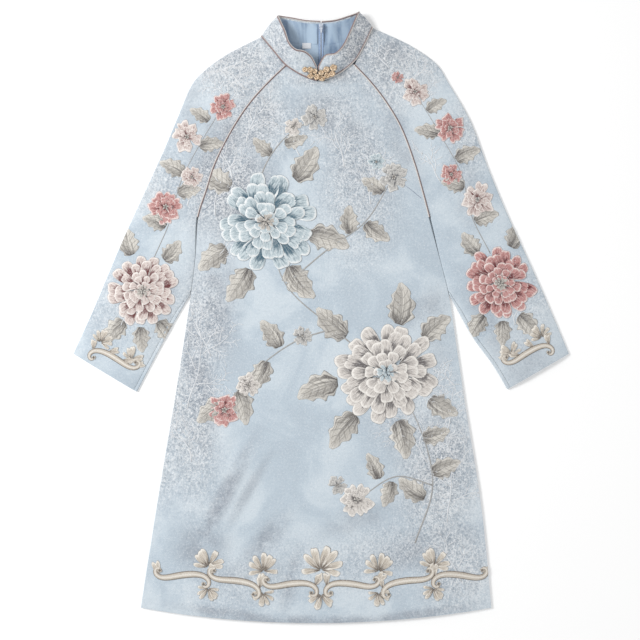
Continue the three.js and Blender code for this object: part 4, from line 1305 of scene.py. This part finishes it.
def piping(side):
    """Piping of the collar's edge, the neck seam and the raglan seam."""
    base, top = collar_lines(side)
    t = np.linspace(UNDERARM, NECK_T - 0.03, 60)
    raglan = np.column_stack([front_edge(side, t), seam_height(t) + 0.6])
    front_end = spline([tuple(top[-1]), COLLAR_FRONT_END[side]], 6)
    return (tube(f"collar_edge_piping_{side}", np.vstack([top, front_end]), PIPE_RADIUS, PIPED),
            tube(f"neck_seam_piping_{side}", base + (0, 0, 0.3), PIPE_RADIUS, PIPED),
            tube(f"raglan_seam_piping_{side}", raglan, 1.6, PIPED))


# ---- what repeats: stitches and zip teeth ----------------------------------------------------------------
def repeated_along(name, route, unit, pitch, material, jitter=0.0, seed=1):
    """Copies of a small unit set along a route at an even pitch, by a Geometry Nodes tree."""
    tree = bpy.data.node_groups.new(name + " rule", "GeometryNodeTree")
    face = tree.interface
    face.new_socket("Geometry", in_out="INPUT", socket_type="NodeSocketGeometry")
    pitch_in = face.new_socket("Pitch", in_out="INPUT", socket_type="NodeSocketFloat")
    jitter_in = face.new_socket("Uneven turn", in_out="INPUT", socket_type="NodeSocketFloat")
    face.new_socket("Geometry", in_out="OUTPUT", socket_type="NodeSocketGeometry")

    def add(kind, settings=None, **links):
        made = tree.nodes.new(kind)
        for key, value in (settings or {}).items():
            setattr(made, key, value)
        for key, value in links.items():
            socket = made.inputs[key.replace("_", " ")]
            if isinstance(value, bpy.types.NodeSocket):
                tree.links.new(value, socket)
            else:
                socket.default_value = value
        return made

    given = add("NodeGroupInput")
    points = add("GeometryNodeCurveToPoints", dict(mode="LENGTH"), Curve=given.outputs["Geometry"],
                 Length=given.outputs["Pitch"])
    small = add("GeometryNodeObjectInfo", None, Object=unit)
    span = add("FunctionNodeRandomValue", dict(data_type="FLOAT"), Seed=seed)
    tree.links.new(given.outputs["Uneven turn"], span.inputs[3])
    turn = add("ShaderNodeCombineXYZ", None, Z=span.outputs[1])
    copies = add("GeometryNodeInstanceOnPoints", None, Points=points.outputs["Points"],
                 Instance=small.outputs["Geometry"], Rotation=points.outputs["Rotation"])
    turned = add("GeometryNodeRotateInstances", None, Instances=copies.outputs[0], Rotation=turn.outputs[0])
    real = add("GeometryNodeRealizeInstances", None, Geometry=turned.outputs[0])
    dressed = add("GeometryNodeSetMaterial", None, Geometry=real.outputs[0], Material=material)
    tree.links.new(dressed.outputs[0], add("NodeGroupOutput").inputs[0])

    curve = bpy.data.curves.new(name, "CURVE")
    curve.dimensions = "3D"
    line = curve.splines.new("POLY")
    where = (np.array(route, float) + (0, SHIFT, 0)) * MM
    line.points.add(len(where) - 1)
    line.points.foreach_set("co", np.column_stack([where, np.ones(len(where))]).ravel())
    carrier = placed(name, curve)
    rule = carrier.modifiers.new("Rule", "NODES")
    rule.node_group = tree
    rule[pitch_in.identifier] = pitch * MM
    rule[jitter_in.identifier] = jitter
    mesh = bpy.data.meshes.new_from_object(carrier.evaluated_get(bpy.context.evaluated_depsgraph_get()))
    carrier.modifiers.clear()
    bpy.data.objects.remove(carrier)
    mesh.polygons.foreach_set("use_smooth", np.ones(len(mesh.polygons), bool))
    return placed(name, mesh)


def small_unit(name, size, material):
    """A small rounded block, x across the route, y up and z along it."""
    build = bmesh.new()
    bmesh.ops.create_cube(build, size=1.0)
    bmesh.ops.scale(build, vec=Vector(size) * MM, verts=build.verts)
    bmesh.ops.bevel(build, geom=build.edges[:], offset=min(size) * 0.3 * MM, segments=2, affect="EDGES")
    mesh = bpy.data.meshes.new(name)
    build.to_mesh(mesh)
    build.free()
    mesh.materials.append(material)
    return bpy.data.objects.new(name, mesh)


# ---- zip, label and closure ------------------------------------------------------------------------------
def zip_line(x, lift=0.0, low=ZIP_ROUTE[0][0], high=ZIP_ROUTE[-1][0]):
    """Points of the zip's route from low to high, beside its middle and lifted off it."""
    fine = spline([(x, y, z + lift) for y, z in ZIP_ROUTE], 30)
    return fine[(fine[:, 1] >= low) & (fine[:, 1] <= high)]


def zip_tape(side):
    """Half of the zip tape, ribbed along its length."""
    sign = SIGN[side]
    centre = zip_line(0)
    across = np.sort(np.linspace(ZIP_SLIT, ZIP_HALF, 7) * sign)
    grid = np.repeat(centre[:, None], len(across), 1)
    grid[:, :, 0] = across
    grid[:, :, 2] += 0.16 * np.cos(np.linspace(-1, 1, len(across)) * math.pi)
    return shell(f"zip_tape_cloth_{side}", grid, TAPE_THICKNESS, TAPE, 0.2)


def rounded_copy(node, name, width, material):
    """A CAD node's own shape with its edges rounded."""
    mesh = bpy.data.objects[node].data.copy()
    build = bmesh.new()
    build.from_mesh(mesh)
    bmesh.ops.remove_doubles(build, verts=build.verts, dist=1e-6)
    bmesh.ops.dissolve_limit(build, angle_limit=math.radians(1), verts=build.verts, edges=build.edges)
    build.to_mesh(mesh)
    build.free()
    mesh.materials.clear()
    mesh.materials.append(material)
    return bevelled(placed(name, mesh), width, angle=35)


def bare_label():
    """Plain woven label, bowed a little across it and rising a little along it; its folded ends and corner
    stitches are not drawn.
    """
    lo, hi = (np.array(c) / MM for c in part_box("size_label"))
    x, y = np.meshgrid(np.linspace(lo[0], hi[0], 24), np.linspace(lo[1], hi[1], 16) - SHIFT)
    s, r = (x - lo[0]) / (hi[0] - lo[0]), (y - y.min()) / (y.max() - y.min())
    z = (lo[2] + hi[2]) / 2 - 0.25 + 0.5 * np.sin(math.pi * s) * 0.6 + 0.25 * r
    return shell("bare_size_label", np.stack([x, y, z], -1), LABEL_THICKNESS, LABEL_WHITE, 0.15)


def ring_bead(centre, radius, tilt, parts):
    """A ring of plump wire with a domed bead in its middle, added to the lists of points and faces."""
    points, faces = parts
    major, minor = radius * 0.66, radius * 0.36
    turn, lean = tilt
    frame_x = np.array([math.cos(turn), math.sin(turn), 0.0])
    up = np.array([-math.sin(turn) * math.sin(lean), math.cos(turn) * math.sin(lean), math.cos(lean)])
    frame_y = np.cross(up, frame_x)
    round_steps, tube_steps = 20, 10
    base = len(points)
    for i in range(round_steps):
        a = 2 * math.pi * i / round_steps
        out = frame_x * math.cos(a) + frame_y * math.sin(a)
        lobe = 1 + 0.1 * math.cos(5 * a)
        for j in range(tube_steps):
            b = 2 * math.pi * j / tube_steps
            points.append(centre + out * (major + minor * lobe * math.cos(b))
                          + up * minor * lobe * math.sin(b))
    for i in range(round_steps):
        for j in range(tube_steps):
            k, n = (i + 1) % round_steps, (j + 1) % tube_steps
            faces.append([base + i * tube_steps + j, base + k * tube_steps + j,
                          base + k * tube_steps + n, base + i * tube_steps + n])
    base = len(points)
    dome, rows, steps = radius * 0.4, 6, 12
    points.append(centre - up * dome * 0.6)
    for i in range(1, rows):
        a = math.pi * i / rows
        for j in range(steps):
            b = 2 * math.pi * j / steps
            points.append(centre + (frame_x * math.cos(b) + frame_y * math.sin(b)) * dome * math.sin(a)
                          - up * dome * 0.75 * math.cos(a))
    points.append(centre + up * dome * 0.75)
    last = len(points) - 1
    for j in range(steps):
        n = (j + 1) % steps
        faces.append([base, base + 1 + n, base + 1 + j])
        for i in range(rows - 2):
            a, b = base + 1 + i * steps + j, base + 1 + i * steps + n
            faces.append([a, b, b + steps, a + steps])
        faces.append([last, last - steps + j, last - steps + n])


def closure():
    """Gold ring beads in two sprays that meet at the collar's split."""
    draw = random.Random(11)
    parts = ([], [])
    for x, y, r in BEADS:
        z = BEAD_SEAT["z"] + BEAD_SEAT["slope"] * (y - BEAD_SEAT["y"]) + r * 0.62
        ring_bead(np.array([x, y, z]), r * 1.32, (draw.uniform(0, 3), draw.uniform(0.1, 0.35)), parts)
    for _ in range(16):
        x, y, r = draw.choice(BEADS)
        a, small = draw.uniform(0, 2 * math.pi), draw.uniform(1.3, 2.0)
        where = np.array([x + math.cos(a) * r * 1.05, y + math.sin(a) * r * 0.95, 0])
        where[2] = BEAD_SEAT["z"] + BEAD_SEAT["slope"] * (where[1] - BEAD_SEAT["y"]) + small + r * 0.45
        ring_bead(where, small, (draw.uniform(0, 3), 0.3), parts)
    return make("gold_closure", *parts, PALE_GOLD)


collar_bands = {side: collar_band(side) for side in SLEEVES}
collar_satins = {side: inner_lining(side) for side in SLEEVES}
neck_satins = {side: neck_satin(side) for side in SLEEVES}
pipings = {side: piping(side) for side in SLEEVES}
tapes = {side: zip_tape(side) for side in SLEEVES}
tooth = small_unit("tooth", (2.2, 0.9, 0.8), ZIP_WHITE)
coil = repeated_along("zip_coil", zip_line(0, 0.45, 562, 945), tooth, 1.35, ZIP_WHITE)
stitch = small_unit("stitch", (0.45, 0.35, 2.1), SATIN_BLUE)
tape_stitches = merged("tape_stitches", [
    repeated_along(f"tape_stitch_{x}", zip_line(x, 0.45, 840, 954), stitch, 3.4, SATIN_BLUE, 0.2, 3)
    for x in (-3.4, 3.4)])
label = bare_label()
slider = rounded_copy("zip_slider", "slider", 0.35, LACQUER)
pull_tab = rounded_copy("zip_pull", "pull_tab", 0.25, LACQUER)
gold = closure()

# ---- which body each piece rides on and what it stands for ----------------------------------------------
DRESS, PULL = "dress", "zip_pull"


def belongs(piece, slot, *nodes, body=DRESS):
    """Says which body a piece rides on and hides the nodes that it stands for; its slot is not used."""
    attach(piece, body)
    if nodes:
        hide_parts(*nodes)


def cut_of(piece):
    """Flat area of a shell: half of its own surface, as it has two sides."""
    build = bmesh.new()
    build.from_mesh(piece.data)
    area = sum(f.calc_area() for f in build.faces) / 2
    build.free()
    return area


def sheet_of(piece, size):
    """Works out the flat area of a shell's cut, at most its width times its length, and does nothing with
    it.
    """
    width, length = size
    area = min(cut_of(piece), width * length)


belongs(front_cloth, "brocade", "front_body")
sheet_of(front_cloth, (0.565, 0.9))
for side in SLEEVES:
    belongs(back_cloths[side], "brocade", f"back_body_{side}")
    sheet_of(back_cloths[side], (0.3, 0.95))
    belongs(sleeve_cloths[side], "brocade", f"sleeve_front_{side}", f"sleeve_back_{side}")
    sheet_of(sleeve_cloths[side], (0.42, 0.66))
    belongs(collar_bands[side], "brocade", f"collar_{side}")
    sheet_of(collar_bands[side], (0.25, 0.06))
    belongs(collar_satins[side], "lining", f"collar_lining_{side}")
    sheet_of(collar_satins[side], (0.24, 0.055))
    belongs(neck_satins[side], "lining", f"neck_lining_{side}")
    sheet_of(neck_satins[side], (0.055, 0.06))
    for trim, node in zip(pipings[side], ("collar_piping", "neck_piping", "raglan_piping")):
        belongs(trim, "piping", f"{node}_{side}")
    belongs(tapes[side], "zip_tape", f"zip_tape_{side}")
    sheet_of(tapes[side], (0.011, 0.4))
for piece in front_motifs + dart_seams + sleeve_motifs["left"] + sleeve_motifs["right"]:
    belongs(piece, "brocade")
belongs(coil, "zip_tape")
belongs(tape_stitches, "lining")
belongs(label, "label", "size_label")
sheet_of(label, (0.016, 0.011))
belongs(slider, "zip_slider", "zip_slider")
belongs(pull_tab, "zip_slider", "zip_pull", body=PULL)
belongs(gold, "gold_bead", *[f"closure_bead_{i + 1}" for i in range(len(BEADS))])

# ---- floor, light and camera -----------------------------------------------------------------------------
def studio_floor():
    """A pale floor just under the dress, which glows a little so that it stays white to its edges."""
    paper = Recipe("Studio floor").finish(srgb(248, 248, 248), Roughness=0.9, Specular_IOR_Level=0.1,
                                          Emission_Color=(1, 1, 1, 1), Emission_Strength=0.12)
    half, under = 12, -0.0004
    corners = [(x * half, y * half, under) for x, y in ((-1, -1), (1, -1), (1, 1), (-1, 1))]
    make("studio_floor", corners, [[0, 1, 2, 3]], paper, scaled=False)


def soft_light(name, place, size, power):
    """A round softbox that faces the middle of the dress."""
    lamp = bpy.data.lights.new(name, "AREA")
    lamp.shape = "DISK"
    lamp.size = size
    lamp.energy = power
    light = placed(name, lamp)
    light.location = place
    light.rotation_euler = (-Vector(place)).to_track_quat("-Z", "Y").to_euler()


studio_floor()
soft_light("Key softbox", (-1.9, 0.7, 1.85), 1.05, 46)
soft_light("Fill softbox", (1.8, -1.0, 2.4), 2.4, 12)
world = bpy.data.worlds.new("Soft room")
world.use_nodes = True
world.node_tree.nodes["Background"].inputs["Color"].default_value = (1, 1, 1, 1)
world.node_tree.nodes["Background"].inputs["Strength"].default_value = 0.55
bpy.context.scene.world = world
bpy.context.scene.view_settings.view_transform = "Standard"

VIEW_WIDTH, LENS, SENSOR = 1.024, 85, 36
lens = bpy.data.cameras.new("Camera above")
lens.lens, lens.sensor_width = LENS, SENSOR
lens.clip_end = 50
camera = placed("Camera above", lens)
camera.location = (-0.0017, -0.0054, VIEW_WIDTH * LENS / SENSOR)
bpy.context.scene.camera = camera
